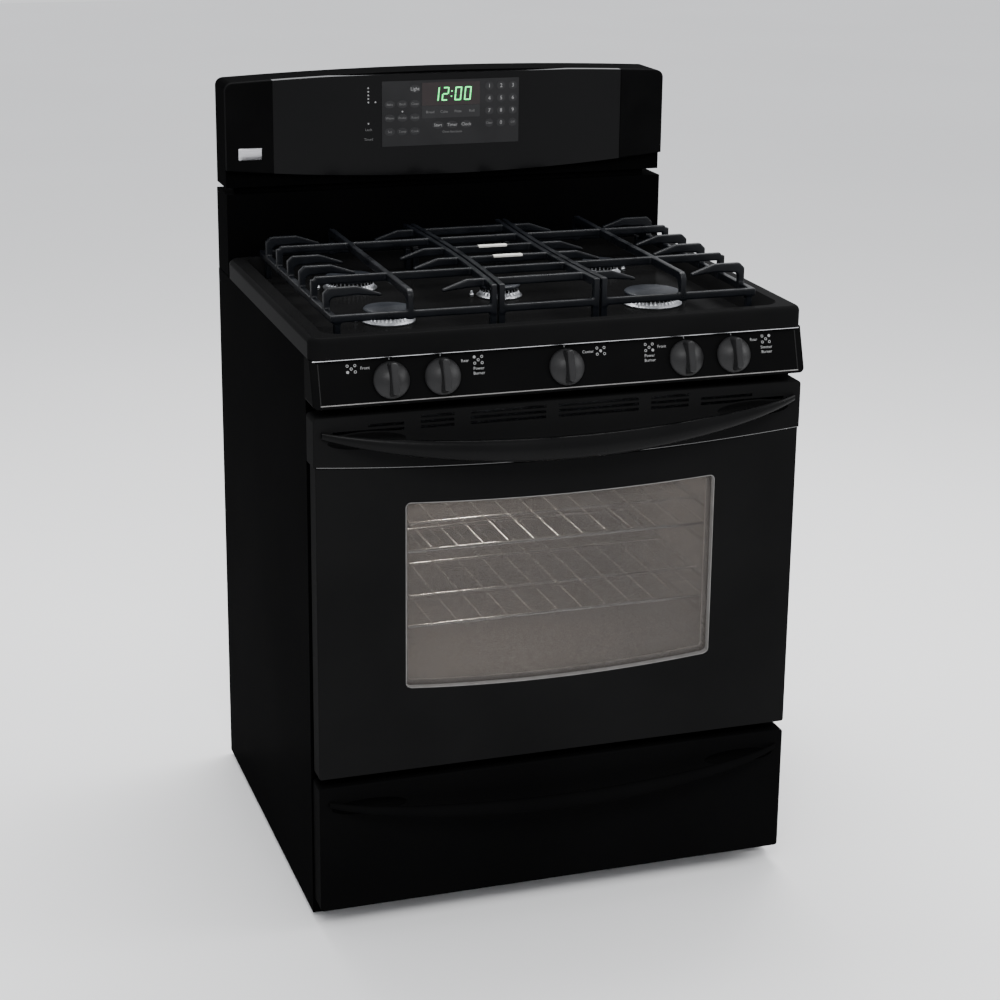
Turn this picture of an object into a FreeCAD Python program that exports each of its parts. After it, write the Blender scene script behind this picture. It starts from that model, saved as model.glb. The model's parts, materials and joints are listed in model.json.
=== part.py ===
import FreeCAD, Part
import math
import os

# Freestanding 30 inch range with five sealed gas burners, an oven and a drawer.
# Millimetres. X runs to the range's right as seen from the front, the front faces
# -Y, Z is up and the floor is z = 0. The origin is the bottom centre of the whole.

# ---------------------------------------------------------------- driving sizes
WIDTH = 759.0              # cooktop, doors and panels
CABINET_WIDTH = 756.0      # between the outer faces of the side panels
HEIGHT = 1210.0            # crown of the backguard
CORNER_HEIGHT = 1200.0     # backguard's outer corners
BACK_Y = 357.5             # back of the cabinet
CABINET_FRONT_Y = -262.5   # front edge of the side panels
FACE_Y = -307.5            # door and drawer faces
HANDLE_Y = -357.5          # front of both handles
SHEET = 1.2                # sheet metal

LEG_EXPOSED = 8.0
LEG_POSITIONS = {
    "front_left": (-358.0, -215.0),
    "front_right": (358.0, -215.0),
    "rear_left": (-358.0, 310.0),
    "rear_right": (358.0, 310.0),
}
LEG_RADIUS = 6.0

PANEL_HALF = 376.0         # door and drawer half width
DRAWER_BOTTOM = 31.0
DRAWER_TOP = 233.0
DOOR_BOTTOM = 247.0
DOOR_TOP = 804.0
TRIM_END_Z = 731.0         # lower edge of the door's vented trim at its ends
TRIM_MID_Z = 714.0         # and in the middle
SCOOP_X = 300.0            # finger hollows behind the ends of both grips
SCOOP_HALF = 58.0
SCOOP_DEPTH = 15.0
SCOOP_RISE = 12.0
TRIM_SCOOP_Z = 766.0
DRAWER_SCOOP_Z = 197.0
HINGE_Y = -287.5
HINGE_Z = 262.0
HINGE_X = 329.0

WINDOW_HALF = 243.0
WINDOW_TOP_END = 668.0
WINDOW_TOP_MID = 660.0
WINDOW_BOTTOM_END = 378.0
WINDOW_BOTTOM_MID = 367.0

CAVITY_HALF = 305.0
CAVITY_BOTTOM = 305.0
CAVITY_TOP = 735.0
CAVITY_BACK = 225.0
RACK_LEVELS = {"lower": 447.0, "upper": 567.0}
LEDGE_LEVELS = [387.0, 447.0, 507.0, 567.0, 627.0]

PANEL_BOTTOM_Z = 818.0     # control panel
PANEL_TOP_Z = 886.0
PANEL_BOTTOM_Y = -316.0
PANEL_TILT = 18.0          # degrees back from upright
KNOB_Z = 852.0
KNOB_X = [-264.0, -188.0, 0.0, 188.0, 264.0]
KNOB_GAP = 4.0             # push travel left behind the knob
STEM_RADIUS = 4.0

RIM_TOP = 918.0            # cooktop
WELL_FLOOR = 890.0
COOKTOP_FRONT = -302.0
COOKTOP_BACK = 276.0
GRATE_TOP = 964.0
GRATE_FOOT = 920.0         # underside of the perimeter rail
GRATE_FRONT = -232.0
GRATE_BACK = 246.0
GRATE_HALF = 332.0
SEAM_END = 80.0            # grate seams at front and back
SEAM_MID = 72.0            # and where they bow in
SEAM_GAP = 1.5             # from a seam's line to the bar on either side
BURNER_X = 213.0
BURNER_FRONT_Y = -108.0
BURNER_BACK_Y = 121.0
BAR_PITCH = (BURNER_BACK_Y - BURNER_FRONT_Y) / 3
BURNERS = {                # name: (x, y, cap radius)
    "front_left": (-BURNER_X, BURNER_FRONT_Y, 38.0),
    "rear_left": (-BURNER_X, BURNER_BACK_Y, 40.0),
    "center": (0.0, (BURNER_FRONT_Y + BURNER_BACK_Y) / 2, 33.0),
    "front_right": (BURNER_X, BURNER_FRONT_Y, 44.0),
    "rear_right": (BURNER_X, BURNER_BACK_Y, 31.0),
}
CAP_SEAT = 905.0
CAP_TOP = 913.0

RISER_TOP = 1020.0         # backguard
CONSOLE_BOTTOM = 1030.0
CONSOLE_HALF = 377.0
CONSOLE_FRONT_Y = 270.0
FASCIA_BACK_Y = 284.0
FASCIA_END_Z = 1060.0
FASCIA_MID_Z = 1040.0
GLASS_HALF = 300.0

MANIFOLD_Y = -252.0
MANIFOLD_Z = 836.0
SUPPLY_X = 320.0
SUPPLY_Y = 326.0

V = FreeCAD.Vector


# ---------------------------------------------------------------- small helpers
def box(x0, x1, y0, y1, z0, z1):
    return Part.makeBox(x1 - x0, y1 - y0, z1 - z0, V(x0, y0, z0))


def cylinder(radius, start, end):
    """A round bar between two points."""
    a = V(*start)
    b = V(*end)
    return Part.makeCylinder(radius, (b - a).Length, a, b - a)


def fuse(shapes):
    whole = shapes[0].fuse(shapes[1:])
    return whole.removeSplitter()


def cut(shape, *tools):
    return shape.cut(list(tools)).removeSplitter()


def mirrored(shape):
    """The same piece on the other side of the range."""
    return shape.mirror(V(0, 0, 0), V(1, 0, 0))


def group(shapes):
    return Part.makeCompound(shapes)


def prism_x(points, x0, x1):
    """A profile of (y, z) points drawn out along X."""
    wire = Part.makePolygon([V(x0, y, z) for y, z in points + points[:1]])
    return Part.Face(wire).extrude(V(x1 - x0, 0, 0))


def bowed_edge(start, end, middle_z):
    if abs(start.z - middle_z) < 0.01:
        return Part.makeLine(start, end)
    return Part.Arc(start, V(0, start.y, middle_z), end).toShape()


def bowed_plate(half, y0, y1, bottom_end, bottom_mid, top_end, top_mid):
    """A plate whose upper and lower edges are arcs, as seen from the front."""
    corners = [V(-half, y0, bottom_end), V(half, y0, bottom_end),
               V(half, y0, top_end), V(-half, y0, top_end)]
    lower = bowed_edge(corners[0], corners[1], bottom_mid)
    right = Part.makeLine(corners[1], corners[2])
    upper = bowed_edge(corners[2], corners[3], top_mid)
    left = Part.makeLine(corners[3], corners[0])
    face = Part.Face(Part.Wire([lower, right, upper, left]))
    return face.extrude(V(0, y1 - y0, 0))


def edges_along(shape, axis, keep):
    """Straight edges parallel to an axis whose middle passes the keep test."""
    found = []
    for edge in shape.Edges:
        if len(edge.Vertexes) != 2 or not isinstance(edge.Curve, Part.Line):
            continue
        run = edge.Vertexes[1].Point - edge.Vertexes[0].Point
        if abs(run.normalize().dot(axis)) < 0.999:
            continue
        if keep(edge.CenterOfMass):
            found.append(edge)
    return found


def edges_at_y(shape, y):
    """Edges that lie wholly in the upright plane at y."""
    return [e for e in shape.Edges
            if abs(e.BoundBox.YMin - y) < 0.05 and abs(e.BoundBox.YMax - y) < 0.05]


def softened(shape, y, radius):
    """Rounds the edges of the face at y."""
    return shape.makeFillet(radius, edges_at_y(shape, y))


def ellipsoid(centre, half_x, half_y, half_z):
    ball = Part.makeSphere(1.0)
    stretch = FreeCAD.Matrix()
    stretch.scale(half_x, half_y, half_z)
    ball = ball.transformGeometry(stretch)
    ball.translate(V(*centre))
    return ball


def rounded_slab(x0, x1, y0, y1, z0, z1, radius):
    """A flat block with its four upright edges rounded."""
    slab = box(x0, x1, y0, y1, z0, z1)
    return slab.makeFillet(radius, edges_along(slab, V(0, 0, 1), lambda p: True))


def rounded_outline(half, y0, y1, z, radius):
    """A closed rounded rectangle, as a wire at height z."""
    flat = rounded_slab(-half, half, y0, y1, z, z + 1, radius)
    for face in flat.Faces:
        if abs(face.CenterOfMass.z - z) < 1e-6:
            return face.OuterWire
    raise ValueError("no outline")


def tapered_block(half, y0, y1, z0, z1, shrink, radius):
    """A rounded block that narrows by shrink on every side towards its bottom."""
    low = rounded_outline(half - shrink, y0 + shrink, y1 - shrink, z0, radius - shrink / 2)
    high = rounded_outline(half, y0, y1, z1, radius)
    return Part.makeLoft([low, high], True, True)


def bent_bar(points, radius, bend):
    """A round bar or tube through points, with every corner bent to one radius."""
    nodes = [V(*p) for p in points]
    edges = []
    start = nodes[0]
    for here, after in zip(nodes[1:-1], nodes[2:]):
        before = (start - here).normalize()
        ahead = (after - here).normalize()
        half_turn = (math.pi - before.getAngle(ahead)) / 2
        setback = bend * math.tan(half_turn)
        entry = here + before * setback
        leave = here + ahead * setback
        inward = (before + ahead).normalize()
        centre = here + inward * (bend / math.cos(half_turn))
        middle = centre - inward * bend
        edges.append(Part.makeLine(start, entry))
        edges.append(Part.Arc(entry, middle, leave).toShape())
        start = leave
    edges.append(Part.makeLine(start, nodes[-1]))
    path = Part.Wire(edges)
    circle = Part.Wire([Part.makeCircle(radius, nodes[0], nodes[1] - nodes[0])])
    return path.makePipeShell([circle], True, True)


def lathe(profile):
    """A solid turned about the Z axis from (radius, z) points."""
    wire = Part.makePolygon([V(r, 0, z) for r, z in profile + profile[:1]])
    return Part.Face(wire).revolve(V(0, 0, 0), V(0, 0, 1), 360)


def moved(shape, x, y, z):
    copy = shape.copy()
    copy.translate(V(x, y, z))
    return copy


# ---------------------------------------------------------------- cabinet
def side_panel_right():
    outer = CABINET_WIDTH / 2
    inner = outer - SHEET
    top = 884.0
    rear = BACK_Y - 2.5
    sheet = box(inner, outer, CABINET_FRONT_Y, BACK_Y, LEG_EXPOSED, top)
    front_flange = box(outer - 22, outer, CABINET_FRONT_Y, CABINET_FRONT_Y + SHEET, LEG_EXPOSED, top)
    rear_flange = box(outer - 22, outer, rear - SHEET, rear, LEG_EXPOSED, top)
    bottom_flange = box(outer - 10, outer, CABINET_FRONT_Y, rear, LEG_EXPOSED, LEG_EXPOSED + SHEET)
    top_flange = box(outer - 16, outer, CABINET_FRONT_Y, rear, top - SHEET, top)
    return fuse([sheet, front_flange, rear_flange, bottom_flange, top_flange])


def rear_panel():
    """A flat upper sheet, and a shelf and a flat lower sheet that make room for the gas line."""
    half = CABINET_WIDTH / 2 - 2
    y1 = BACK_Y - 1.2
    y0 = y1 - SHEET
    recess_y = 300.0
    recess_top = 330.0
    foot = 38.0
    joint_gap = 0.1
    upper = box(-half, half, y0, y1, recess_top - SHEET, 882)
    shelf = box(-half, half, recess_y, y0 - joint_gap, recess_top - SHEET, recess_top)
    lower = box(-half, half, recess_y, recess_y + SHEET, foot, recess_top - SHEET - joint_gap)
    pipe_hole = cylinder(9.5, (SUPPLY_X, SUPPLY_Y, recess_top - 5), (SUPPLY_X, SUPPLY_Y, recess_top + 5))
    cable_hole = cylinder(11.1, (-300, recess_y - 5, 250), (-300, recess_y + 5, 250))
    vents = []
    for row in range(4):
        for column in range(9):
            x = -200 + column * 50
            z = 780 + row * 18
            vents.append(box(x - 18, x + 18, y0 - 5, y1 + 5, z, z + 6))
    flange_room = box(355.5, 380, y0 - 1.8, y0 - 0.05, foot - 5, recess_top + 1)
    shelf = cut(shelf, pipe_hole, flange_room, mirrored(flange_room))
    return group([cut(upper, *vents), shelf, cut(lower, cable_hole)])


def base_rails():
    """Two side rails that carry the legs and two cross rails between them."""
    floor = 14.0
    side_rail = fuse([
        box(340, 376, -255, 350, floor, floor + 2),
        box(340, 342, -255, 350, floor, floor + 20),
        cylinder(13, (358, -215, floor), (358, -215, floor + 16)),
        cylinder(13, (358, 310, floor), (358, 310, floor + 16)),
    ])
    for y in (-215, 310):
        side_rail = cut(side_rail, cylinder(LEG_RADIUS + 0.1, (358, y, 0), (358, y, 60)))
    front_rail = fuse([box(-339.5, 339.5, -252, -225, floor, floor + 2),
                       box(-339.5, 339.5, -252, -250, floor, floor + 18)])
    rear_rail = fuse([box(-339.5, 339.5, 270, 295, floor, floor + 2),
                      box(-339.5, 339.5, 293, 295, floor, floor + 18)])
    return group([side_rail, mirrored(side_rail), front_rail, rear_rail])


def leg(x, y):
    foot = lathe([(0, 0), (13, 0), (14, 1), (14, 6), (12, 7.5), (0, 7.5)])
    shaft = cylinder(LEG_RADIUS, (0, 0, 7), (0, 0, 48))
    return moved(fuse([foot, shaft]), x, y, 0)


def cabinet_screws():
    """Hex heads that hold the rear panel."""
    head = Part.makeCylinder(4, 1.2, V(0, BACK_Y - 1.2, 0), V(0, 1, 0))
    heads = []
    for x in (-365, 365):
        for z in (380, 500, 620, 740, 860):
            heads.append(moved(head, x, 0, z))
    for x in (-240, -80, 80, 240):
        heads.append(moved(head, x, 0, 872))
    return group(heads)


# ---------------------------------------------------------------- oven
def oven_cavity():
    wall = 1.5
    front = CABINET_FRONT_Y
    shell = box(-CAVITY_HALF - wall, CAVITY_HALF + wall, front, CAVITY_BACK + wall,
                CAVITY_BOTTOM - wall, CAVITY_TOP + wall)
    flange = box(-354, 354, front, front + wall, 262, 778)
    ledges = []
    for level in LEDGE_LEVELS:
        ledge = box(CAVITY_HALF - 9, CAVITY_HALF + 1, front + 12, CAVITY_BACK - 12, level - 13, level - 7)
        ledges += [ledge, mirrored(ledge)]
    hollow = box(-CAVITY_HALF, CAVITY_HALF, front - 1, CAVITY_BACK, CAVITY_BOTTOM, CAVITY_TOP)
    slot = box(HINGE_X - 9, HINGE_X + 9, front - 1, front + 5, 255, 300)
    liner = cut(fuse([shell, flange]), hollow, slot, mirrored(slot))
    return fuse([liner] + ledges)


def oven_insulation():
    """Mineral wool on five sides, with a pocket under the floor for the element."""
    outer = box(-338, 338, CABINET_FRONT_Y + 2, 257, 272, 769)
    hollow = box(-307, 307, CABINET_FRONT_Y - 5, CAVITY_BACK + 2, 286, CAVITY_TOP + 2)
    pocket = box(HINGE_X - 17, HINGE_X + 17, CABINET_FRONT_Y - 5, -195, 250, 312)
    return cut(outer, hollow, pocket, mirrored(pocket))


def bake_element():
    """Heating tube hidden below the oven floor."""
    z = 294.5
    tube = bent_bar([(-30, 222, z), (-30, 120, z), (-240, 120, z), (-240, -200, z), (240, -200, z),
                     (240, 120, z), (30, 120, z), (30, 222, z)], 3.2, 28)
    plate = box(-45, 45, 222, 225, z - 8, z + 6)
    return fuse([tube, plate])


def broil_element():
    """Serpentine heating tube under the oven ceiling, on a plate and two hangers."""
    z = 712.0
    columns = (-200, -120, -40, 40, 120, 200)
    points = [(columns[0], 222, z)]
    for i, x in enumerate(columns[:-1]):
        turn = -190 if i % 2 == 0 else 150
        points.append((x, turn, z))
        points.append((columns[i + 1], turn, z))
    points.append((columns[-1], 222, z))
    tube = bent_bar(points, 3.5, 26)
    plate = box(-215, 215, 222, 225, z - 10, z + 10)
    hangers = []
    for x in (-160, 160):
        hangers.append(box(x - 45, x + 45, -102, -98, z - 2, z + 8))
        hangers.append(box(x - 4, x + 4, -102, -98, z + 2, CAVITY_TOP - 0.1))
    return fuse([tube, plate] + hangers)


def rack(level):
    """Wire rack: a heavy frame, long wires front to back and two cross bars."""
    half = CAVITY_HALF - 4
    front = -232.0
    back = 204.0
    frame_wire = 3.0
    thin_wire = 1.6
    lift = level - frame_wire
    frame = bent_bar([(0, front, lift), (half, front, lift), (half, back, lift), (-half, back, lift),
                      (-half, front, lift), (-0.01, front, lift)], frame_wire, 16)
    parts = [frame]
    for y in (-105.0, 40.0):
        parts.append(cylinder(frame_wire * 0.85, (-half, y, lift - 1), (half, y, lift - 1)))
    count = 14
    for i in range(count):
        x = -half + 2 * half * (i + 1) / (count + 1)
        parts.append(cylinder(thin_wire, (x, front, lift + 2.2), (x, back, lift + 2.2)))
    return fuse(parts)


def hinge_receivers():
    """Arms fixed in the cabinet that reach into the door and hold its pivot."""
    arm = box(HINGE_X - 2.5, HINGE_X + 2.5, HINGE_Y - 8, -205, HINGE_Z - 8, HINGE_Z + 8)
    foot = box(HINGE_X - 8, HINGE_X + 8, -250, -205, HINGE_Z - 12, HINGE_Z - 8)
    pivot = cylinder(4.05, (HINGE_X - 20, HINGE_Y, HINGE_Z), (HINGE_X + 20, HINGE_Y, HINGE_Z))
    receiver = cut(fuse([arm, foot]), pivot)
    return group([receiver, mirrored(receiver)])


# ---------------------------------------------------------------- oven door
def door_notch():
    """Space in the door's lower corner that the fixed hinge arm sweeps."""
    notch = box(HINGE_X - 7, HINGE_X + 7, HINGE_Y - 12, CABINET_FRONT_Y, DOOR_BOTTOM - 5, HINGE_Z + 22)
    return group([notch, mirrored(notch)])


def window_block(grow, y0, y1, radius):
    block = bowed_plate(WINDOW_HALF + grow, y0, y1, WINDOW_BOTTOM_END - grow, WINDOW_BOTTOM_MID - grow,
                        WINDOW_TOP_END + grow, WINDOW_TOP_MID + grow)
    return block.makeFillet(radius, edges_along(block, V(0, 1, 0), lambda p: True))


def door_outer_panel():
    """Formed front sheet whose lower part carries the window; the trim sits above."""
    sheet = 1.5
    back = -275.0
    outer = bowed_plate(PANEL_HALF, FACE_Y, back, DOOR_BOTTOM, DOOR_BOTTOM,
                        TRIM_END_Z - 0.3, TRIM_MID_Z - 0.3)
    outer = outer.makeFillet(4, edges_along(outer, V(0, 1, 0), lambda p: p.z < 400))
    outer = softened(outer, FACE_Y, 2.0)
    hollow = box(-PANEL_HALF + sheet, PANEL_HALF - sheet, FACE_Y + sheet, back + 1, DOOR_BOTTOM + sheet, 760)
    collar = window_block(1.5, FACE_Y + sheet, FACE_Y + 12, 10)
    opening = window_block(0, FACE_Y - 5, back + 5, 9)
    shell = cut(fuse([outer.cut(hollow), collar]), opening)
    rim = [e for e in edges_at_y(shell, FACE_Y) if abs(e.CenterOfMass.x) < WINDOW_HALF + 1
           and WINDOW_BOTTOM_MID - 5 < e.CenterOfMass.z < WINDOW_TOP_END + 5]
    return cut(shell.makeFillet(1.2, rim), door_notch())


def door_outer_glass():
    return window_block(14, FACE_Y + 12.2, FACE_Y + 16.2, 12)


def door_inner_panel():
    """Pressed liner that closes the door and holds the inner glass."""
    back = -266.0
    front = -274.5
    skin = box(-370, 370, back - 1.2, back, 256, 798)
    skirt = box(-370, 370, front, back, 256, 798)
    skirt = cut(skirt, box(-368.8, 368.8, front - 1, back + 1, 257.2, 796.8))
    collar = window_block(8, front - 8, back, 12)
    opening = window_block(6.5, front - 20, back + 5, 11)
    panel = cut(fuse([skin, skirt, collar]), opening)
    return cut(panel, door_notch())


def door_inner_glass():
    return window_block(14, -287.0, -282.8, 12)


def door_gasket():
    ring = rounded_slab(-346, 346, 280, 764, -265.9, -262.8, 20)
    hole = rounded_slab(-336, 336, 290, 754, -270, -260, 12)
    flat = cut(ring, hole)
    flat.rotate(V(0, 0, 0), V(1, 0, 0), 90)
    lift = V(0, -265.9 - flat.BoundBox.YMin, 280 - flat.BoundBox.ZMin)
    flat.translate(lift)
    return flat


def vent_slots():
    """Three rows of slots across the top of the door."""
    segments = [(-350, -245), (-220, -170), (-145, -30), (-10, 115), (135, 195), (215, 350)]
    rows = {0: 222, 1: 298, 2: 350}
    slots = []
    for row, reach in rows.items():
        z = 796.0 - row * 8
        for start, end in segments:
            a = max(start, -reach)
            b = min(end, reach)
            if b - a > 20:
                slots.append(box(a, b, FACE_Y - 6, FACE_Y + 6, z - 2.3, z + 2.3))
    return slots


def scooped(shell, z):
    """Presses a hollow for the fingers into the face behind each end of the grip."""
    for side in (-1, 1):
        centre = (side * SCOOP_X, FACE_Y, z)
        cup = ellipsoid(centre, SCOOP_HALF + 2, SCOOP_DEPTH + 2, SCOOP_RISE + 2)
        cup = cup.common(box(-400, 400, FACE_Y + 0.5, FACE_Y + 40, z - 60, z + 60))
        pocket = ellipsoid(centre, SCOOP_HALF, SCOOP_DEPTH, SCOOP_RISE)
        shell = shell.fuse(cup).cut(pocket)
    return shell


def door_top_trim():
    """Moulded cap with the cooling slots, which also carries the handle."""
    wall = 2.5
    back = -266.0
    outer = bowed_plate(WIDTH / 2 - 1, FACE_Y, back, TRIM_END_Z, TRIM_MID_Z, DOOR_TOP, DOOR_TOP)
    outer = outer.makeFillet(6, edges_along(outer, V(0, 1, 0), lambda p: p.z > 790))
    outer = softened(outer, FACE_Y, 2.5)
    hollow = bowed_plate(WIDTH / 2 - 1 - wall, FACE_Y + wall, back + 5, TRIM_END_Z - 10, TRIM_MID_Z - 10,
                         DOOR_TOP - wall, DOOR_TOP - wall)
    liner_room = box(-371, 371, -284, back + 5, 700, 799.5)
    shell = cut(outer, hollow, liner_room, *vent_slots())
    return scooped(shell, TRIM_SCOOP_Z)


def crescent(half, tip_z, mid_z, tip_size, mid_size, root_y):
    """A bowed grip: an oval section that swells and stands off towards the middle."""
    sections = []
    for step in (-1.0, -0.82, -0.55, -0.25, 0.0, 0.25, 0.55, 0.82, 1.0):
        blend = 1 - step * step
        rise = tip_size[0] + (mid_size[0] - tip_size[0]) * blend
        depth = tip_size[1] + (mid_size[1] - tip_size[1]) * blend
        stand_off = math.sqrt(blend) if blend > 0 else 0.0
        y = root_y + (HANDLE_Y + mid_size[1] - root_y) * stand_off ** 1.2
        z = tip_z + (mid_z - tip_z) * blend
        oval = Part.Ellipse(V(0, 0, 0), rise, depth).toShape()
        oval.rotate(V(0, 0, 0), V(0, 1, 0), 90)
        oval.translate(V(half * step, y, z))
        sections.append(Part.Wire([oval]))
    return Part.makeLoft(sections, True, False)


def door_handle():
    grip = crescent(367, 779, 743, (5, 3), (18, 10), FACE_Y - 2)
    return cut(grip, box(-400, 400, FACE_Y, 0, 600, 900))


def door_hinges():
    """Channels in the door's lower corners with the pivot pins."""
    channel = box(HINGE_X - 12, HINGE_X + 12, HINGE_Y - 14, -283, HINGE_Z - 12, HINGE_Z + 60)
    gap = box(HINGE_X - 7.5, HINGE_X + 7.5, HINGE_Y - 12, -270, HINGE_Z - 20, HINGE_Z + 58)
    pin = cylinder(4.0, (HINGE_X - 11, HINGE_Y, HINGE_Z), (HINGE_X + 11, HINGE_Y, HINGE_Z))
    hinge = fuse([cut(channel, gap), pin])
    return group([hinge, mirrored(hinge)])


# ---------------------------------------------------------------- drawer
def drawer_front():
    sheet = 1.5
    back = -266.0
    outer = box(-PANEL_HALF, PANEL_HALF, FACE_Y, back, DRAWER_BOTTOM, DRAWER_TOP)
    outer = outer.makeFillet(5, edges_along(outer, V(0, 1, 0), lambda p: True))
    outer = softened(outer, FACE_Y, 3.0)
    hollow = box(-PANEL_HALF + sheet, PANEL_HALF - sheet, FACE_Y + sheet, back + 5,
                 DRAWER_BOTTOM + sheet, DRAWER_TOP - sheet)
    grip = crescent(362, 207, 181, (4, 3), (12, 10), FACE_Y - 2)
    grip = cut(grip, box(-400, 400, FACE_Y + 0.5, 0, 0, 400))
    return scooped(outer.cut(hollow), DRAWER_SCOOP_Z).fuse(grip)


def drawer_pan():
    outer = box(-318, 318, -265.8, 286, 42, 165)
    hollow = box(-318 + SHEET, 318 - SHEET, -265.8 + SHEET, 286 - SHEET, 42 + SHEET, 170)
    return outer.cut(hollow)


def drawer_slides():
    """Inner members, fixed to the pan."""
    slide = fuse([box(318, 320, -255, 280, 98, 124), box(320, 328, -255, 280, 106, 116)])
    return group([slide, mirrored(slide)])


def drawer_rails():
    """Outer members and their brackets, fixed to the side panels."""
    channel = box(320.6, 334, -252, 290, 102, 120)
    groove = box(320, 328.6, -260, 300, 105.4, 116.6)
    bracket = box(334, CABINET_WIDTH / 2 - SHEET, -240, -200, 102, 120)
    rail = fuse([cut(channel, groove), bracket, moved(bracket, 0, 470, 0)])
    return group([rail, mirrored(rail)])


# ---------------------------------------------------------------- cooktop
def cooktop_pan():
    """Porcelain steel top with a raised rim, a sloping wall and a flat well."""
    half = WIDTH / 2
    sheet = 2.5
    outer = rounded_slab(-half, half, COOKTOP_FRONT, COOKTOP_BACK, 886, RIM_TOP, 20)
    rim_edges = [e for e in outer.Edges if abs(e.CenterOfMass.z - RIM_TOP) < 0.01
                 and e.CenterOfMass.y < COOKTOP_BACK - 1]
    outer = outer.makeFillet(9, rim_edges)
    well = tapered_block(354, -280, 264, WELL_FLOOR, RIM_TOP + 0.01, 22, 30)
    under = rounded_slab(-half + sheet, half - sheet, COOKTOP_FRONT + sheet, COOKTOP_BACK - sheet,
                         880, RIM_TOP - 8, 18)
    keep = tapered_block(354 + sheet, -280 - sheet, 264 + sheet, WELL_FLOOR - sheet, RIM_TOP + 0.5, 22, 31)
    pan = cut(outer, well, under.cut(keep))
    throats = [cylinder(20, (x, y, 860), (x, y, 930)) for x, y, _ in BURNERS.values()]
    return cut(pan, *throats)


def burner_heads():
    """Cast bodies on the well floor, each with a recess for its cap."""
    heads = []
    for x, y, radius in BURNERS.values():
        profile = [(0, 876), (18, 876), (18, WELL_FLOOR), (radius + 5, WELL_FLOOR),
                   (radius + 5, WELL_FLOOR + 3), (radius - 2, WELL_FLOOR + 6), (radius - 2, CAP_SEAT - 0.3),
                   (radius - 8, CAP_SEAT - 0.3), (radius - 8, CAP_SEAT - 5), (0, CAP_SEAT - 5)]
        heads.append(moved(lathe(profile), x, y, 0))
    return group(heads)


def burner_cap(x, y, radius):
    profile = [(0, CAP_SEAT - 3), (radius - 9, CAP_SEAT - 3), (radius - 9, CAP_SEAT), (radius - 1, CAP_SEAT),
               (radius, CAP_SEAT + 1.5), (radius, CAP_SEAT + 4), (radius - 3, CAP_SEAT + 6.8),
               (radius * 0.55, CAP_TOP - 0.3), (0, CAP_TOP)]
    return moved(lathe(profile), x, y, 0)


def rail(points, width, z0, z1):
    """A straight-sided cast bar over a run of (x, y) points."""
    pieces = []
    for (xa, ya), (xb, yb) in zip(points, points[1:]):
        run = math.hypot(xb - xa, yb - ya)
        piece = Part.makeBox(run, width, z1 - z0, V(0, -width / 2, z0))
        piece.rotate(V(0, 0, 0), V(0, 0, 1), math.degrees(math.atan2(yb - ya, xb - xa)))
        piece.translate(V(xa, ya, 0))
        pieces.append(piece)
    for x, y in points[1:-1]:
        pieces.append(cylinder(width / 2, (x, y, z0), (x, y, z1)))
    return pieces


def seam_points(offset):
    """Plan line of a grate seam on the right, which bows in towards the middle."""
    middle = (GRATE_FRONT + GRATE_BACK) / 2
    reach = (GRATE_BACK - GRATE_FRONT) / 2
    points = []
    for i in range(9):
        t = -1 + i / 4
        x = SEAM_MID + (SEAM_END - SEAM_MID) * t * t + offset
        points.append((x, middle + reach * t))
    return points


BAR = 9.0                   # width of the cast bars
RAIL_TOP = GRATE_FOOT + 13
BAR_BOTTOM = GRATE_TOP - 12


def finger(x_root, x_tip, y, leg_side):
    """A bar at the top level, with a leg down to the rail and a tip that tapers."""
    lean = 1 if x_tip > x_root else -1
    profile = [(x_root, GRATE_FOOT + 2), (x_root, GRATE_TOP - 8), (x_root + 8 * lean, GRATE_TOP),
               (x_tip - 38 * lean, GRATE_TOP), (x_tip, GRATE_TOP - 13), (x_tip, GRATE_TOP - 17),
               (x_tip - 38 * lean, BAR_BOTTOM - 1), (x_root + 14 * lean, BAR_BOTTOM - 3),
               (x_root + 10 * lean, BAR_BOTTOM - 8), (x_root + 10 * lean, GRATE_FOOT + 2)]
    if not leg_side:
        profile = [(x_root, BAR_BOTTOM), (x_root, GRATE_TOP), (x_tip - 38 * lean, GRATE_TOP),
                   (x_tip, GRATE_TOP - 13), (x_tip, GRATE_TOP - 17), (x_tip - 38 * lean, BAR_BOTTOM - 1)]
    wire = Part.makePolygon([V(x, y - BAR / 2, z) for x, z in profile + profile[:1]])
    return Part.Face(wire).extrude(V(0, BAR, 0))


def long_bar(x):
    """A bar from front to back with curved legs at both ends."""
    front = GRATE_FRONT
    back = GRATE_BACK
    bar = box(x - BAR / 2, x + BAR / 2, front, back, GRATE_FOOT, GRATE_TOP)
    tunnel = box(x - BAR, x + BAR, front + 12, back - 12, GRATE_FOOT - 5, BAR_BOTTOM)
    tunnel = tunnel.makeFillet(14, edges_along(tunnel, V(1, 0, 0), lambda p: p.z > GRATE_FOOT))
    bar = bar.makeFillet(12, edges_along(bar, V(1, 0, 0), lambda p: p.z > GRATE_TOP - 1))
    return bar.cut(tunnel)


def feet(*positions):
    """Square feet below the rails that stand on the well floor."""
    found = []
    for x in positions:
        for y in (GRATE_FRONT + 1, GRATE_BACK - 22):
            found.append(box(x, x + 10, y, y + 10, WELL_FLOOR + 0.3, GRATE_FOOT + 6))
    return found


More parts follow.
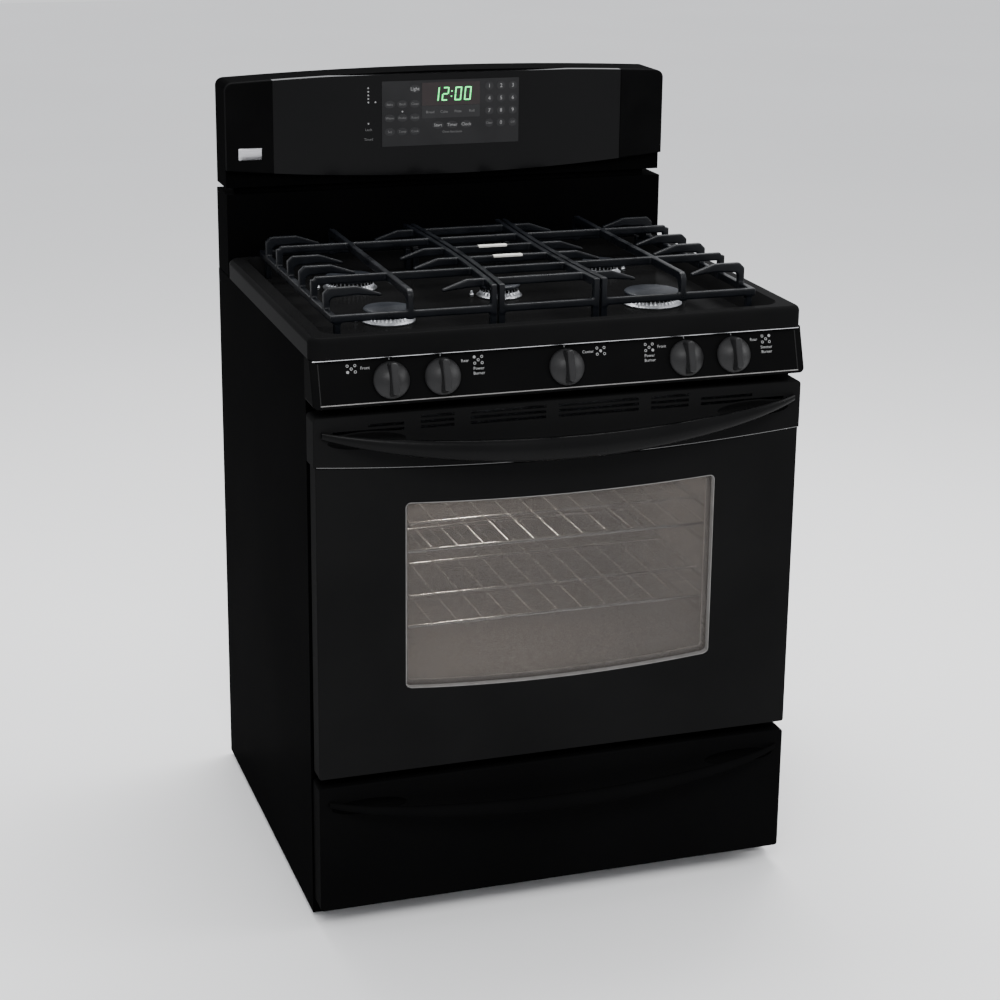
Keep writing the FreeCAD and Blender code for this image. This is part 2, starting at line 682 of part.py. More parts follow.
def grate_side():
    """Right-hand grate: outer rail, middle bar, inner seam bar, full and short bars."""
    outer = GRATE_HALF
    seam = seam_points(BAR / 2 + SEAM_GAP)
    upper = rail(seam, BAR, BAR_BOTTOM, GRATE_TOP)
    front_foot = box(seam[0][0] - BAR / 2, seam[0][0] + BAR / 2, GRATE_FRONT, GRATE_FRONT + 12,
                     GRATE_FOOT, GRATE_TOP)
    rear_foot = moved(front_foot, 0, GRATE_BACK - GRATE_FRONT - 12, 0)
    side_rail = box(outer - BAR, outer, GRATE_FRONT, GRATE_BACK, GRATE_FOOT + 2, RAIL_TOP)
    inner_x = seam[0][0]
    front_rail = box(inner_x, outer, GRATE_FRONT, GRATE_FRONT + BAR, GRATE_FOOT + 2, RAIL_TOP)
    rear_rail = moved(front_rail, 0, GRATE_BACK - GRATE_FRONT - BAR, 0)
    parts = upper + [front_foot, rear_foot, side_rail, front_rail, rear_rail, long_bar(BURNER_X)]
    for y in (BURNER_FRONT_Y, BURNER_BACK_Y):
        parts.append(box(SEAM_MID + 6, outer - 6, y - BAR / 2, y + BAR / 2, BAR_BOTTOM, GRATE_TOP))
        parts.append(box(outer - 10, outer, y - BAR / 2, y + BAR / 2, GRATE_FOOT + 2, GRATE_TOP - 4))
        for step in (-1, 1):
            line = y + step * BAR_PITCH
            parts.append(finger(outer, outer - 88, line, True))
            parts.append(finger(SEAM_MID + 6, SEAM_MID + 80, line, False))
    parts += feet(outer - 15, inner_x - BAR / 2)
    return fuse(parts)


def grate_center():
    """Middle grate between the two bowed seams, with six cross bars."""
    seam = seam_points(-BAR / 2 - SEAM_GAP)
    mirror = [(-x, y) for x, y in seam]
    parts = rail(seam, BAR, BAR_BOTTOM, GRATE_TOP) + rail(mirror, BAR, BAR_BOTTOM, GRATE_TOP)
    inner = seam[0][0]
    for y in (GRATE_FRONT, GRATE_BACK - 12):
        for x in (inner - BAR / 2, -inner - BAR / 2):
            parts.append(box(x, x + BAR, y, y + 12, GRATE_FOOT, GRATE_TOP))
        parts.append(box(-inner, inner, y, y + BAR, GRATE_FOOT + 2, RAIL_TOP))
    for i in range(6):
        y = BURNER_FRONT_Y + (i - 1) * BAR_PITCH
        reach = SEAM_MID - 3
        parts.append(box(-reach, reach, y - BAR / 2, y + BAR / 2, BAR_BOTTOM, GRATE_TOP))
    parts += feet(inner - BAR / 2 - 1, -inner - BAR / 2)
    return fuse(parts)


# ---------------------------------------------------------------- gas parts
def knob_place(x):
    """Frame on the control panel's face: Z outwards, Y up the panel."""
    y = PANEL_BOTTOM_Y + (KNOB_Z - PANEL_BOTTOM_Z) * math.tan(math.radians(PANEL_TILT))
    return FreeCAD.Placement(V(x, y, KNOB_Z), FreeCAD.Rotation(V(1, 0, 0), 90 - PANEL_TILT))


def on_panel(shape, x):
    copy = shape.copy()
    copy.Placement = knob_place(x)
    return copy


def knob(x):
    skirt = Part.makeCone(27, 25, 8, V(0, 0, KNOB_GAP))
    barrel = Part.makeCone(22, 20, 14, V(0, 0, KNOB_GAP + 8))
    grip = box(-6, 6, -25, 25, KNOB_GAP + 2, KNOB_GAP + 25)
    grip = grip.common(Part.makeCone(27, 23, 25, V(0, 0, KNOB_GAP)))
    bore = Part.makeCylinder(STEM_RADIUS + 0.05, 20, V(0, 0, 0))
    return on_panel(cut(fuse([skirt, barrel, grip]), bore), x)


def valve_stem(x):
    return on_panel(Part.makeCylinder(STEM_RADIUS, 50, V(0, 0, -34)), x)


def burner_valves():
    """Brass valves behind the panel, one per knob."""
    body = fuse([box(-11, 11, -12, 12, -40, -16), Part.makeCylinder(8, 10, V(0, 0, -16)),
                 Part.makeCylinder(6, 8, V(0, 1.2, -47.1))])
    body = cut(body, Part.makeCylinder(STEM_RADIUS + 0.05, 40, V(0, 0, -34.3)))
    return group([on_panel(body, x) for x in KNOB_X])


def gas_manifold():
    return cylinder(8, (-340, MANIFOLD_Y, MANIFOLD_Z), (340, MANIFOLD_Y, MANIFOLD_Z))


def gas_supply_pipe():
    return bent_bar([(SUPPLY_X, SUPPLY_Y, 229), (SUPPLY_X, SUPPLY_Y, MANIFOLD_Z),
                     (SUPPLY_X, MANIFOLD_Y + 8.2, MANIFOLD_Z)], 8, 40)


def burner_tubes():
    """Aluminium tubes from each valve to the burner above its throat."""
    tubes = []
    for x, (bx, by, _) in zip(KNOB_X, BURNERS.values()):
        start = MANIFOLD_Y + 8.3
        if bx == x:
            points = [(x, start, MANIFOLD_Z), (bx, by, MANIFOLD_Z), (bx, by, 875.5)]
        else:
            points = [(x, start, MANIFOLD_Z), (x, by, MANIFOLD_Z), (bx, by, MANIFOLD_Z), (bx, by, 875.5)]
        tubes.append(bent_bar(points, 4, 12))
    return group(tubes)


def pressure_regulator():
    body = cylinder(24, (SUPPLY_X, 305, 200), (SUPPLY_X, 345, 200))
    bonnet = cylinder(10, (SUPPLY_X, 345, 200), (SUPPLY_X, 353, 200))
    outlet = cylinder(12, (SUPPLY_X, SUPPLY_Y, 200), (SUPPLY_X, SUPPLY_Y, 228.8))
    inlet = cylinder(16, (SUPPLY_X, SUPPLY_Y, 200), (SUPPLY_X, SUPPLY_Y, 150))
    thread = cylinder(10.3, (SUPPLY_X, SUPPLY_Y, 149), (SUPPLY_X, SUPPLY_Y, 168))
    return cut(fuse([body, bonnet, outlet, inlet]), thread)


def control_panel():
    """Leaning fascia with closed ends, open at the back, with five stem holes."""
    half = WIDTH / 2
    wall = 2.0
    rise = PANEL_TOP_Z - PANEL_BOTTOM_Z
    top_y = PANEL_BOTTOM_Y + rise * math.tan(math.radians(PANEL_TILT))
    back = CABINET_FRONT_Y - 0.3
    profile = [(PANEL_BOTTOM_Y, PANEL_BOTTOM_Z), (top_y, PANEL_TOP_Z - 0.3),
               (back, PANEL_TOP_Z - 0.3), (back, PANEL_BOTTOM_Z)]
    outer = prism_x(profile, -half, half)
    lower = edges_along(outer, V(0, 1, 0), lambda p: p.z < PANEL_BOTTOM_Z + 1)
    outer = outer.makeFillet(8, lower)
    ends = [e for e in outer.Edges if abs(abs(e.CenterOfMass.x) - half) < 0.01
            and e.CenterOfMass.y < PANEL_BOTTOM_Y + 20]
    outer = outer.makeFillet(3, ends)
    inner = prism_x([(PANEL_BOTTOM_Y + wall, PANEL_BOTTOM_Z + wall), (top_y + wall, PANEL_TOP_Z - wall),
                     (back + 5, PANEL_TOP_Z - wall), (back + 5, PANEL_BOTTOM_Z + wall)],
                    -half + wall, half - wall)
    shell = outer.cut(inner)
    holes = [on_panel(Part.makeCylinder(6, 30, V(0, 0, -15)), x) for x in KNOB_X]
    return cut(shell, *holes)


# ---------------------------------------------------------------- backguard
def backguard_riser():
    """Box of sheet metal behind the cooktop, with a narrower neck for the console."""
    wall = 1.5
    half = WIDTH / 2 - 2
    front = COOKTOP_BACK + 0.3
    outer = box(-half, half, front, BACK_Y, 884.5, RISER_TOP)
    hollow = box(-half + wall, half - wall, front + wall, BACK_Y - wall, 880, RISER_TOP - wall)
    neck = box(-352, 352, front + 16, BACK_Y - 8, RISER_TOP - 0.5, CONSOLE_BOTTOM - 0.2)
    shaft = box(-350, 350, front + 18, BACK_Y - 10, RISER_TOP - 10, CONSOLE_BOTTOM + 5)
    return cut(fuse([outer, neck]), hollow, shaft)


def console_outline(half, y0, y1, bottom_end, bottom_mid, shrink):
    plate = bowed_plate(half, y0, y1, bottom_end, bottom_mid, CORNER_HEIGHT - shrink, HEIGHT - shrink)
    return plate


def console_housing():
    wall = 2.5
    outer = console_outline(CONSOLE_HALF, FASCIA_BACK_Y, BACK_Y, CONSOLE_BOTTOM, CONSOLE_BOTTOM, 0)
    outer = outer.makeFillet(13, edges_along(outer, V(0, 1, 0), lambda p: p.z > 1100))
    outer = softened(outer, BACK_Y, 2.0)
    inner = console_outline(CONSOLE_HALF - wall, FASCIA_BACK_Y + wall, BACK_Y - wall,
                            CONSOLE_BOTTOM + wall, CONSOLE_BOTTOM + wall, 9)
    return outer.cut(inner)


def fascia():
    plate = console_outline(CONSOLE_HALF, CONSOLE_FRONT_Y, FASCIA_BACK_Y - 0.2, FASCIA_END_Z, FASCIA_MID_Z, 0)
    plate = plate.makeFillet(13, edges_along(plate, V(0, 1, 0), lambda p: p.z > 1100))
    return softened(plate, CONSOLE_FRONT_Y, 2.0)


def console_end_caps():
    gap = GLASS_HALF + 0.5
    cap = fascia().common(box(gap, 400, 200, 300, 1000, 1300))
    return group([cap, mirrored(cap)])


def console_glass():
    middle = box(-GLASS_HALF, GLASS_HALF, CONSOLE_FRONT_Y + 1, 300, 1000, HEIGHT - 3)
    return fascia().common(middle)


def display_overlay():
    return box(-118, 118, CONSOLE_FRONT_Y + 0.2, CONSOLE_FRONT_Y + 0.95, 1089, 1196)


def control_board():
    board = box(-105, 105, 300, 301.6, 1088, 1192)
    display_block = box(-50, 50, FASCIA_BACK_Y + 2.7, 299.9, 1148, 1188)
    relays = [box(x, x + 22, 301.7, 320, 1100, 1128) for x in (-95, -60, -25, 10, 45)]
    return fuse([board] + [display_block, box(-3, 3, 299, 301, 1160, 1170)]
                + [r.fuse(box(r.BoundBox.XMin, r.BoundBox.XMax, 301, 302, 1100, 1128)) for r in relays])


# ---------------------------------------------------------------- all nodes
def all_parts():
    side = side_panel_right()
    grate = grate_side()
    parts = {
        "side_panel_right": side,
        "side_panel_left": mirrored(side),
        "rear_panel": rear_panel(),
        "base_rails": base_rails(),
        "cabinet_screws": cabinet_screws(),
        "oven_cavity": oven_cavity(),
        "oven_insulation": oven_insulation(),
        "bake_element": bake_element(),
        "broil_element": broil_element(),
        "hinge_receivers": hinge_receivers(),
        "drawer_rails": drawer_rails(),
        "cooktop_pan": cooktop_pan(),
        "burner_heads": burner_heads(),
        "burner_valves": burner_valves(),
        "burner_tubes": burner_tubes(),
        "gas_manifold": gas_manifold(),
        "gas_supply_pipe": gas_supply_pipe(),
        "pressure_regulator": pressure_regulator(),
        "control_panel": control_panel(),
        "backguard_riser": backguard_riser(),
        "console_housing": console_housing(),
        "console_end_caps": console_end_caps(),
        "console_glass": console_glass(),
        "display_overlay": display_overlay(),
        "control_board": control_board(),
        "door_outer_panel": door_outer_panel(),
        "door_outer_glass": door_outer_glass(),
        "door_inner_panel": door_inner_panel(),
        "door_inner_glass": door_inner_glass(),
        "door_gasket": door_gasket(),
        "door_top_trim": door_top_trim(),
        "door_handle": door_handle(),
        "door_hinges": door_hinges(),
        "drawer_front": drawer_front(),
        "drawer_pan": drawer_pan(),
        "drawer_slides": drawer_slides(),
        "grate_right": grate,
        "grate_left": mirrored(grate),
        "grate_center": grate_center(),
    }
    for name, (x, y) in LEG_POSITIONS.items():
        parts["leg_" + name] = leg(x, y)
    for name, level in RACK_LEVELS.items():
        parts["rack_" + name] = rack(level)
    for name, (x, y, radius) in BURNERS.items():
        parts["cap_" + name] = burner_cap(x, y, radius)
    for number, x in enumerate(KNOB_X, 1):
        parts["knob_%d" % number] = knob(x)
        parts["valve_stem_%d" % number] = valve_stem(x)
    return parts


os.makedirs("parts", exist_ok=True)
for node, shape in all_parts().items():
    shape.exportStep("parts/%s.step" % node)
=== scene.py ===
import json
import math

import bmesh
import bpy
from mathutils import Euler, Matrix, Vector


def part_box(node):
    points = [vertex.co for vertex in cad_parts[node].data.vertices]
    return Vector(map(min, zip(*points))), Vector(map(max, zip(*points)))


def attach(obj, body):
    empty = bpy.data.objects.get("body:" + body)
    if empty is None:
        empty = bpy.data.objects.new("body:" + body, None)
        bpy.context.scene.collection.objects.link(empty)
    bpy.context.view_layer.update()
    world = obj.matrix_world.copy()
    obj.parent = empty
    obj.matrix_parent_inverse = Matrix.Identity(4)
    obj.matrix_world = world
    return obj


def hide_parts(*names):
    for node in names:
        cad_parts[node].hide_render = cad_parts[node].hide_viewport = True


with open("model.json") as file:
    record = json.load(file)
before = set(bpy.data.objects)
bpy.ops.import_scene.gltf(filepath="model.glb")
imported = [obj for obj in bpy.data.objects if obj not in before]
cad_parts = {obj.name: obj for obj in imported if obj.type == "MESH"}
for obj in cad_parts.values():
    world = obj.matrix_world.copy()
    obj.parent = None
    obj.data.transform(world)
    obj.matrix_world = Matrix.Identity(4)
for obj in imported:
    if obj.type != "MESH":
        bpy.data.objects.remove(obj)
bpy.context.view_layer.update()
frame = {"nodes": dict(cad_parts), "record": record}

# A black freestanding gas range. Metres; the front faces -Y and the floor is z = 0.

NODES = frame["nodes"]

# ------------------------------------------------------------------ places from the frame
FACE_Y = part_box("door_outer_panel")[0].y
PANEL_LOW, PANEL_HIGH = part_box("control_panel")
OVERLAY_LOW, OVERLAY_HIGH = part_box("display_overlay")
OUTER_PANE_LOW, OUTER_PANE_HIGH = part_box("door_outer_glass")
INNER_PANE_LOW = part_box("door_inner_glass")[0]
CAVITY_LOW, CAVITY_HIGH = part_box("oven_cavity")
TRIM_LOW, TRIM_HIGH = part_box("door_top_trim")
CONSOLE_FRONT_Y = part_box("console_end_caps")[0].y

PANEL_TILT = math.radians(18)      # the control panel leans back by this much
JOINT_PLACES = {joint["name"]: joint.get("pos_m") for joint in frame["record"]["behaviour"]["joints"]}
FACE_POINT_Y, KNOB_Z = JOINT_PLACES["valve_1_turn"][1:]    # where a valve's axis meets the panel's face
KNOB_NUMBERS = (1, 2, 3, 4, 5)
BURNER_NAMES = ("front_left", "rear_left", "center", "front_right", "rear_right")
GRATE_NAMES = ("left", "center", "right")

PANE_MARGIN = 0.014                # the panes run this far behind the window's edge
WINDOW_CORNER = 0.009
PRINT_PROUD = 0.0003               # printed shapes stand this far off a face
PRINT_SUNK = 0.0001                # and reach this far into it
LETTER_LIFT = 0.0002               # letters on the control panel lie this far off it
TRIM_SAG = 0.017                   # the trim's lower edge dips by this much in the middle


# ------------------------------------------------------------------ materials
def new_material(name):
    material = bpy.data.materials.new(name)
    material.use_nodes = True
    tree = material.node_tree
    return material, tree, tree.nodes["Principled BSDF"]


def noise(tree, scale, detail=3.0, rough=0.5):
    """Noise in the object's own coordinates, so it keeps its scale on every piece."""
    place = tree.nodes.new("ShaderNodeTexCoord")
    texture = tree.nodes.new("ShaderNodeTexNoise")
    texture.inputs["Scale"].default_value = scale
    texture.inputs["Detail"].default_value = detail
    texture.inputs["Roughness"].default_value = rough
    tree.links.new(place.outputs["Object"], texture.inputs["Vector"])
    return texture.outputs["Fac"]


def ramp(tree, source, low, high, start=0.3, end=0.7):
    """Maps a 0..1 pattern to numbers between low and high."""
    node = tree.nodes.new("ShaderNodeMapRange")
    node.inputs["From Min"].default_value = start
    node.inputs["From Max"].default_value = end
    node.inputs["To Min"].default_value = low
    node.inputs["To Max"].default_value = high
    tree.links.new(source, node.inputs["Value"])
    return node.outputs["Result"]


def blend_colours(tree, source, first, second):
    node = tree.nodes.new("ShaderNodeValToRGB")
    node.color_ramp.elements[0].position = 0.35
    node.color_ramp.elements[0].color = (*first, 1)
    node.color_ramp.elements[1].position = 0.65
    node.color_ramp.elements[1].color = (*second, 1)
    tree.links.new(source, node.inputs["Fac"])
    return node.outputs["Color"]


def bump(tree, shader, source, strength, distance):
    node = tree.nodes.new("ShaderNodeBump")
    node.inputs["Strength"].default_value = strength
    node.inputs["Distance"].default_value = distance
    tree.links.new(source, node.inputs["Height"])
    tree.links.new(node.outputs["Normal"], shader.inputs["Normal"])


def surface(name, first, second, rough, texture_scale, bump_scale, bump_depth,
            metal=0.0, specular=0.5, bump_strength=0.4):
    """A finish with uneven colour and gloss, and a fine relief."""
    material, tree, shader = new_material(name)
    uneven = noise(tree, texture_scale, 4.0)
    tree.links.new(blend_colours(tree, uneven, first, second), shader.inputs["Base Color"])
    tree.links.new(ramp(tree, uneven, rough[0], rough[1]), shader.inputs["Roughness"])
    shader.inputs["Metallic"].default_value = metal
    shader.inputs["Specular IOR Level"].default_value = specular
    bump(tree, shader, noise(tree, bump_scale, 2.0), bump_strength, bump_depth)
    return material


def speckled_enamel(name, ground, speck, amount, rough):
    """Porcelain enamel with fine light flecks."""
    material, tree, shader = new_material(name)
    flecks = noise(tree, 900.0, 1.0)
    node = tree.nodes.new("ShaderNodeValToRGB")
    node.color_ramp.elements[0].position = 1.0 - amount
    node.color_ramp.elements[0].color = (*ground, 1)
    node.color_ramp.elements[1].position = min(1.0, 1.04 - amount)
    node.color_ramp.elements[1].color = (*speck, 1)
    tree.links.new(flecks, node.inputs["Fac"])
    tree.links.new(node.outputs["Color"], shader.inputs["Base Color"])
    tree.links.new(ramp(tree, noise(tree, 9.0), rough[0], rough[1]), shader.inputs["Roughness"])
    shader.inputs["Specular IOR Level"].default_value = 0.35
    bump(tree, shader, noise(tree, 160.0, 2.0), 0.25, 0.0003)
    return material


def brushed_metal(name, colour, rough):
    """Bare metal with a fine grain drawn along X."""
    material, tree, shader = new_material(name)
    place = tree.nodes.new("ShaderNodeTexCoord")
    stretch = tree.nodes.new("ShaderNodeMapping")
    stretch.inputs["Scale"].default_value = (8.0, 700.0, 700.0)
    grain = tree.nodes.new("ShaderNodeTexNoise")
    grain.inputs["Scale"].default_value = 1.0
    tree.links.new(place.outputs["Object"], stretch.inputs["Vector"])
    tree.links.new(stretch.outputs["Vector"], grain.inputs["Vector"])
    dull = tuple(c * 0.8 for c in colour)
    tree.links.new(blend_colours(tree, grain.outputs["Fac"], dull, colour), shader.inputs["Base Color"])
    tree.links.new(ramp(tree, grain.outputs["Fac"], rough - 0.06, rough + 0.06), shader.inputs["Roughness"])
    shader.inputs["Metallic"].default_value = 1.0
    bump(tree, shader, grain.outputs["Fac"], 0.15, 0.0002)
    return material


def galvanised(name):
    """Zinc with the crystal patches that hot dipping leaves."""
    material, tree, shader = new_material(name)
    place = tree.nodes.new("ShaderNodeTexCoord")
    cells = tree.nodes.new("ShaderNodeTexVoronoi")
    cells.inputs["Scale"].default_value = 70.0
    tree.links.new(place.outputs["Object"], cells.inputs["Vector"])
    grey = tree.nodes.new("ShaderNodeSeparateColor")
    tree.links.new(cells.outputs["Color"], grey.inputs["Color"])
    patches = grey.outputs["Red"]
    tree.links.new(blend_colours(tree, patches, (0.30, 0.31, 0.33), (0.46, 0.47, 0.49)),
                   shader.inputs["Base Color"])
    tree.links.new(ramp(tree, patches, 0.34, 0.52), shader.inputs["Roughness"])
    shader.inputs["Metallic"].default_value = 1.0
    bump(tree, shader, patches, 0.1, 0.0002)
    return material


def screened_glass(name, tint, see_through, rough):
    """Oven glass with a fine printed screen, which veils what is behind it."""
    material, tree, shader = new_material(name)
    place = tree.nodes.new("ShaderNodeTexCoord")
    dots = tree.nodes.new("ShaderNodeTexVoronoi")
    dots.inputs["Scale"].default_value = 620.0
    tree.links.new(place.outputs["Object"], dots.inputs["Vector"])
    veil = ramp(tree, dots.outputs["Distance"], 1.0 - see_through + 0.12, 1.0 - see_through - 0.12, 0.2, 0.7)
    tree.links.new(veil, shader.inputs["Alpha"])
    tree.links.new(blend_colours(tree, noise(tree, 14.0), tint, tuple(c * 0.93 for c in tint)),
                   shader.inputs["Base Color"])
    shader.inputs["Roughness"].default_value = rough
    shader.inputs["Specular IOR Level"].default_value = 0.3
    return material


def glowing(name, colour, strength):
    material, tree, shader = new_material(name)
    tree.links.new(blend_colours(tree, noise(tree, 300.0), tuple(c * 0.9 for c in colour), colour),
                   shader.inputs["Emission Color"])
    shader.inputs["Base Color"].default_value = (*colour, 1)
    shader.inputs["Emission Strength"].default_value = strength
    shader.inputs["Roughness"].default_value = 0.4
    return material


def make_materials():
    return {
        # The side finish is painted shade: a darker copy of the black enamel, for the faces that sit in
        # shade.
        "side": surface("black_side_painted_shade", (0.0012, 0.0012, 0.0013), (0.0018, 0.0018, 0.0019), (0.34, 0.42), 3.0,
                        900.0, 0.0002, specular=0.0002),
        "door": surface("black_door", (0.0064, 0.0064, 0.0065), (0.0078, 0.0078, 0.0079), (0.24, 0.32), 4.0,
                        420.0, 0.0003, specular=0.0003),
        "handle": surface("black_handle", (0.0026, 0.0026, 0.0027), (0.0034, 0.0034, 0.0035), (0.24, 0.32),
                          9.0, 420.0, 0.0002, specular=0.07),
        "drawer": surface("black_drawer", (0.0024, 0.0024, 0.0025), (0.0031, 0.0031, 0.0032), (0.24, 0.32),
                          4.0, 420.0, 0.0003, specular=0.0003),
        "panel": surface("black_panel", (0.0036, 0.0036, 0.0037), (0.0045, 0.0045, 0.0046), (0.28, 0.36), 6.0,
                         700.0, 0.0002, specular=0.0003),
        "cooktop": surface("black_cooktop", (0.0052, 0.0052, 0.0053), (0.0064, 0.0064, 0.0065), (0.12, 0.19),
                           5.0, 260.0, 0.0003, specular=0.001, bump_strength=0.2),
        "plastic": surface("moulded_black", (0.0030, 0.0030, 0.0031), (0.0040, 0.0040, 0.0041), (0.36, 0.46),
                           12.0, 1500.0, 0.0004, specular=0.0006),
        "knob": surface("knob_black", (0.0105, 0.0105, 0.0108), (0.0135, 0.0135, 0.014), (0.34, 0.44),
                        30.0, 1500.0, 0.0003, specular=0.22),
        "glass": surface("black_glass", (0.0034, 0.0034, 0.0036), (0.0043, 0.0043, 0.0045), (0.06, 0.10), 3.0,
                         60.0, 0.0001, specular=0.11, bump_strength=0.05),
        "membrane": surface("key_membrane", (0.0158, 0.0158, 0.0166), (0.0196, 0.0196, 0.0204), (0.36, 0.46),
                            20.0, 1200.0, 0.0003, specular=0.12),
        "key": surface("key_dark", (0.011, 0.011, 0.012), (0.014, 0.014, 0.015), (0.40, 0.48), 40.0,
                       1200.0, 0.0002, specular=0.35),
        "lcd": surface("lcd_window", (0.010, 0.0045, 0.0045), (0.013, 0.006, 0.006), (0.06, 0.12), 50.0,
                       600.0, 0.0001, specular=0.5),
        "iron": surface("enamelled_iron", (0.0021, 0.0026, 0.0037), (0.0036, 0.0044, 0.0061), (0.26, 0.42),
                        26.0, 750.0, 0.0009, specular=0.17, bump_strength=0.5),
        "cap": surface("enamelled_cap", (0.013, 0.015, 0.019), (0.018, 0.0205, 0.0255), (0.30, 0.42), 40.0,
                       900.0, 0.0004, specular=0.25),
        "aluminium": surface("cast_aluminium", (0.42, 0.43, 0.45), (0.56, 0.57, 0.59), (0.30, 0.46), 45.0,
                             800.0, 0.0006, metal=1.0),
        "slot": surface("slot_shadow", (0.004, 0.004, 0.004), (0.006, 0.006, 0.006), (0.6, 0.7), 40.0,
                        500.0, 0.0002, specular=0.2),
        # Colour of the pale pads on the centre grate: a painted highlight.
        "pad_highlight": surface("painted_highlight_pad", (0.62, 0.60, 0.55), (0.72, 0.70, 0.66), (0.35, 0.5), 90.0,
                           900.0, 0.0003),
        "bright": brushed_metal("bright_metal", (0.72, 0.72, 0.74), 0.24),
        "wire": brushed_metal("rack_chrome", (0.74, 0.73, 0.71), 0.26),
        "steel": brushed_metal("drawer_steel_grain", (0.36, 0.36, 0.37), 0.38),
        "brass": surface("brass_cast", (0.55, 0.40, 0.17), (0.64, 0.47, 0.21), (0.28, 0.42), 60.0, 900.0,
                         0.0003, metal=1.0),
        "zinc": galvanised("zinc_sheet"),
        "cavity": speckled_enamel("cavity_porcelain", (0.20, 0.185, 0.17), (0.42, 0.40, 0.37), 0.42,
                                  (0.28, 0.42)),
        "liner": speckled_enamel("liner_porcelain", (0.016, 0.016, 0.018), (0.10, 0.10, 0.11), 0.40,
                                 (0.25, 0.38)),
        "window": screened_glass("screened_window", (0.073, 0.065, 0.060), 0.54, 0.16),
        "inner_window": screened_glass("clear_window", (0.10, 0.095, 0.09), 0.86, 0.10),
        "reveal": surface("window_reveal", (0.30, 0.275, 0.255), (0.36, 0.335, 0.31), (0.35, 0.5), 20.0,
                          500.0, 0.0002),
        "element": surface("element_sheath", (0.06, 0.055, 0.052), (0.11, 0.10, 0.095), (0.5, 0.65), 60.0,
                           900.0, 0.0004, metal=0.6),
        "braid": surface("gasket_weave", (0.055, 0.055, 0.055), (0.11, 0.11, 0.11), (0.8, 0.95), 700.0,
                         1300.0, 0.0012, specular=0.2, bump_strength=0.9),
        "wool": surface("mineral_wool_mat", (0.52, 0.47, 0.32), (0.66, 0.60, 0.44), (0.85, 0.98), 60.0,
                        420.0, 0.003, specular=0.1, bump_strength=0.9),
        "board": surface("circuit_green", (0.012, 0.10, 0.035), (0.02, 0.15, 0.055), (0.35, 0.5), 160.0,
                         700.0, 0.0003),
        "print": surface("white_print", (0.24, 0.24, 0.24), (0.29, 0.29, 0.29), (0.5, 0.6), 300.0, 900.0,
                         0.0001),
        "edge": surface("light_edge", (0.16, 0.155, 0.15), (0.21, 0.205, 0.20), (0.3, 0.4), 60.0, 900.0,
                        0.0001),
        "faint": surface("grey_print", (0.105, 0.105, 0.105), (0.125, 0.125, 0.125), (0.5, 0.6), 300.0, 900.0,
                         0.0001),
        "digit": glowing("green_digit", (0.06, 1.0, 0.24), 1.6),
        "lamp": glowing("lamp_glow", (1.0, 0.86, 0.68), 3.0),
        "floor": surface("studio_floor", (0.88, 0.88, 0.88), (0.90, 0.90, 0.90), (0.75, 0.85), 0.6, 90.0,
                         0.0004, specular=0.1, bump_strength=0.1),
    }


MATERIALS = make_materials()

NODE_FINISH = {
    # Sides, riser and console housing take the shaded copy of the black enamel, which paints in their shade.
    "side": ("side_panel_left", "side_panel_right", "backguard_riser", "console_housing"),
    "zinc": ("rear_panel", "base_rails", "hinge_receivers", "drawer_rails", "drawer_slides", "door_hinges",
             "cabinet_screws", "pressure_regulator"),
    "cavity": ("oven_cavity",),
    "wool": ("oven_insulation",),
    "element": ("bake_element", "broil_element"),
    "cooktop": ("cooktop_pan",),
    "brass": ("burner_valves",),
    "aluminium": ("burner_tubes", "burner_heads"),
    "steel": ("gas_manifold", "gas_supply_pipe", "drawer_pan", "valve_stem_1", "valve_stem_2",
              "valve_stem_3", "valve_stem_4", "valve_stem_5"),
    "panel": ("control_panel",),
    "plastic": ("console_end_caps", "leg_front_left", "leg_front_right",
                "leg_rear_left", "leg_rear_right"),
    "glass": ("console_glass",),
    "membrane": ("display_overlay",),
    "board": ("control_board",),
    "door": ("door_outer_panel", "door_top_trim"),
    "handle": ("door_handle",),
    "drawer": ("drawer_front",),
    "window": ("door_outer_glass",),
    "inner_window": ("door_inner_glass",),
    "liner": ("door_inner_panel",),
    "braid": ("door_gasket",),
    "wire": ("rack_lower", "rack_upper"),
    "iron": ("grate_left", "grate_center", "grate_right"),
}


def finish_nodes():
    for finish, names in NODE_FINISH.items():
        for name in names:
            data = NODES[name].data
            data.materials.clear()
            data.materials.append(MATERIALS[finish])


# ------------------------------------------------------------------ mesh helpers
def add_piece(name, mesh, finish, body):
    """Puts a finished mesh in the scene, riding on a body of the frame."""
    mesh.materials.clear()
    mesh.materials.append(MATERIALS[finish])
    piece = bpy.data.objects.new(name, mesh)
    bpy.context.scene.collection.objects.link(piece)
    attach(piece, body)
    return piece


def close_up(form, name, smooth_degrees=35):
    """Turns a bmesh into a mesh with its normals outwards and its corners kept crisp."""
    bmesh.ops.recalc_face_normals(form, faces=form.faces)
    mesh = bpy.data.meshes.new(name)
    form.to_mesh(mesh)
    form.free()
    mesh.shade_smooth()
    mesh.set_sharp_from_angle(angle=math.radians(smooth_degrees))
    return mesh


def lathe(form, profile, steps=72, centre=(0, 0, 0)):
    """Turns (radius, height) points about Z. Points on the axis become poles."""
    rings = []
    for radius, height in profile:
        if radius < 1e-6:
            rings.append([form.verts.new((centre[0], centre[1], centre[2] + height))])
            continue
        ring = []
        for i in range(steps):
            angle = 2 * math.pi * i / steps
            ring.append(form.verts.new((centre[0] + radius * math.cos(angle),
                                        centre[1] + radius * math.sin(angle), centre[2] + height)))
        rings.append(ring)
    for low, high in zip(rings, rings[1:]):
        for i in range(steps):
            j = (i + 1) % steps
            if len(low) == 1:
                form.faces.new((low[0], high[i], high[j]))
            elif len(high) == 1:
                form.faces.new((low[i], low[j], high[0]))
            else:
                form.faces.new((low[i], low[j], high[j], high[i]))


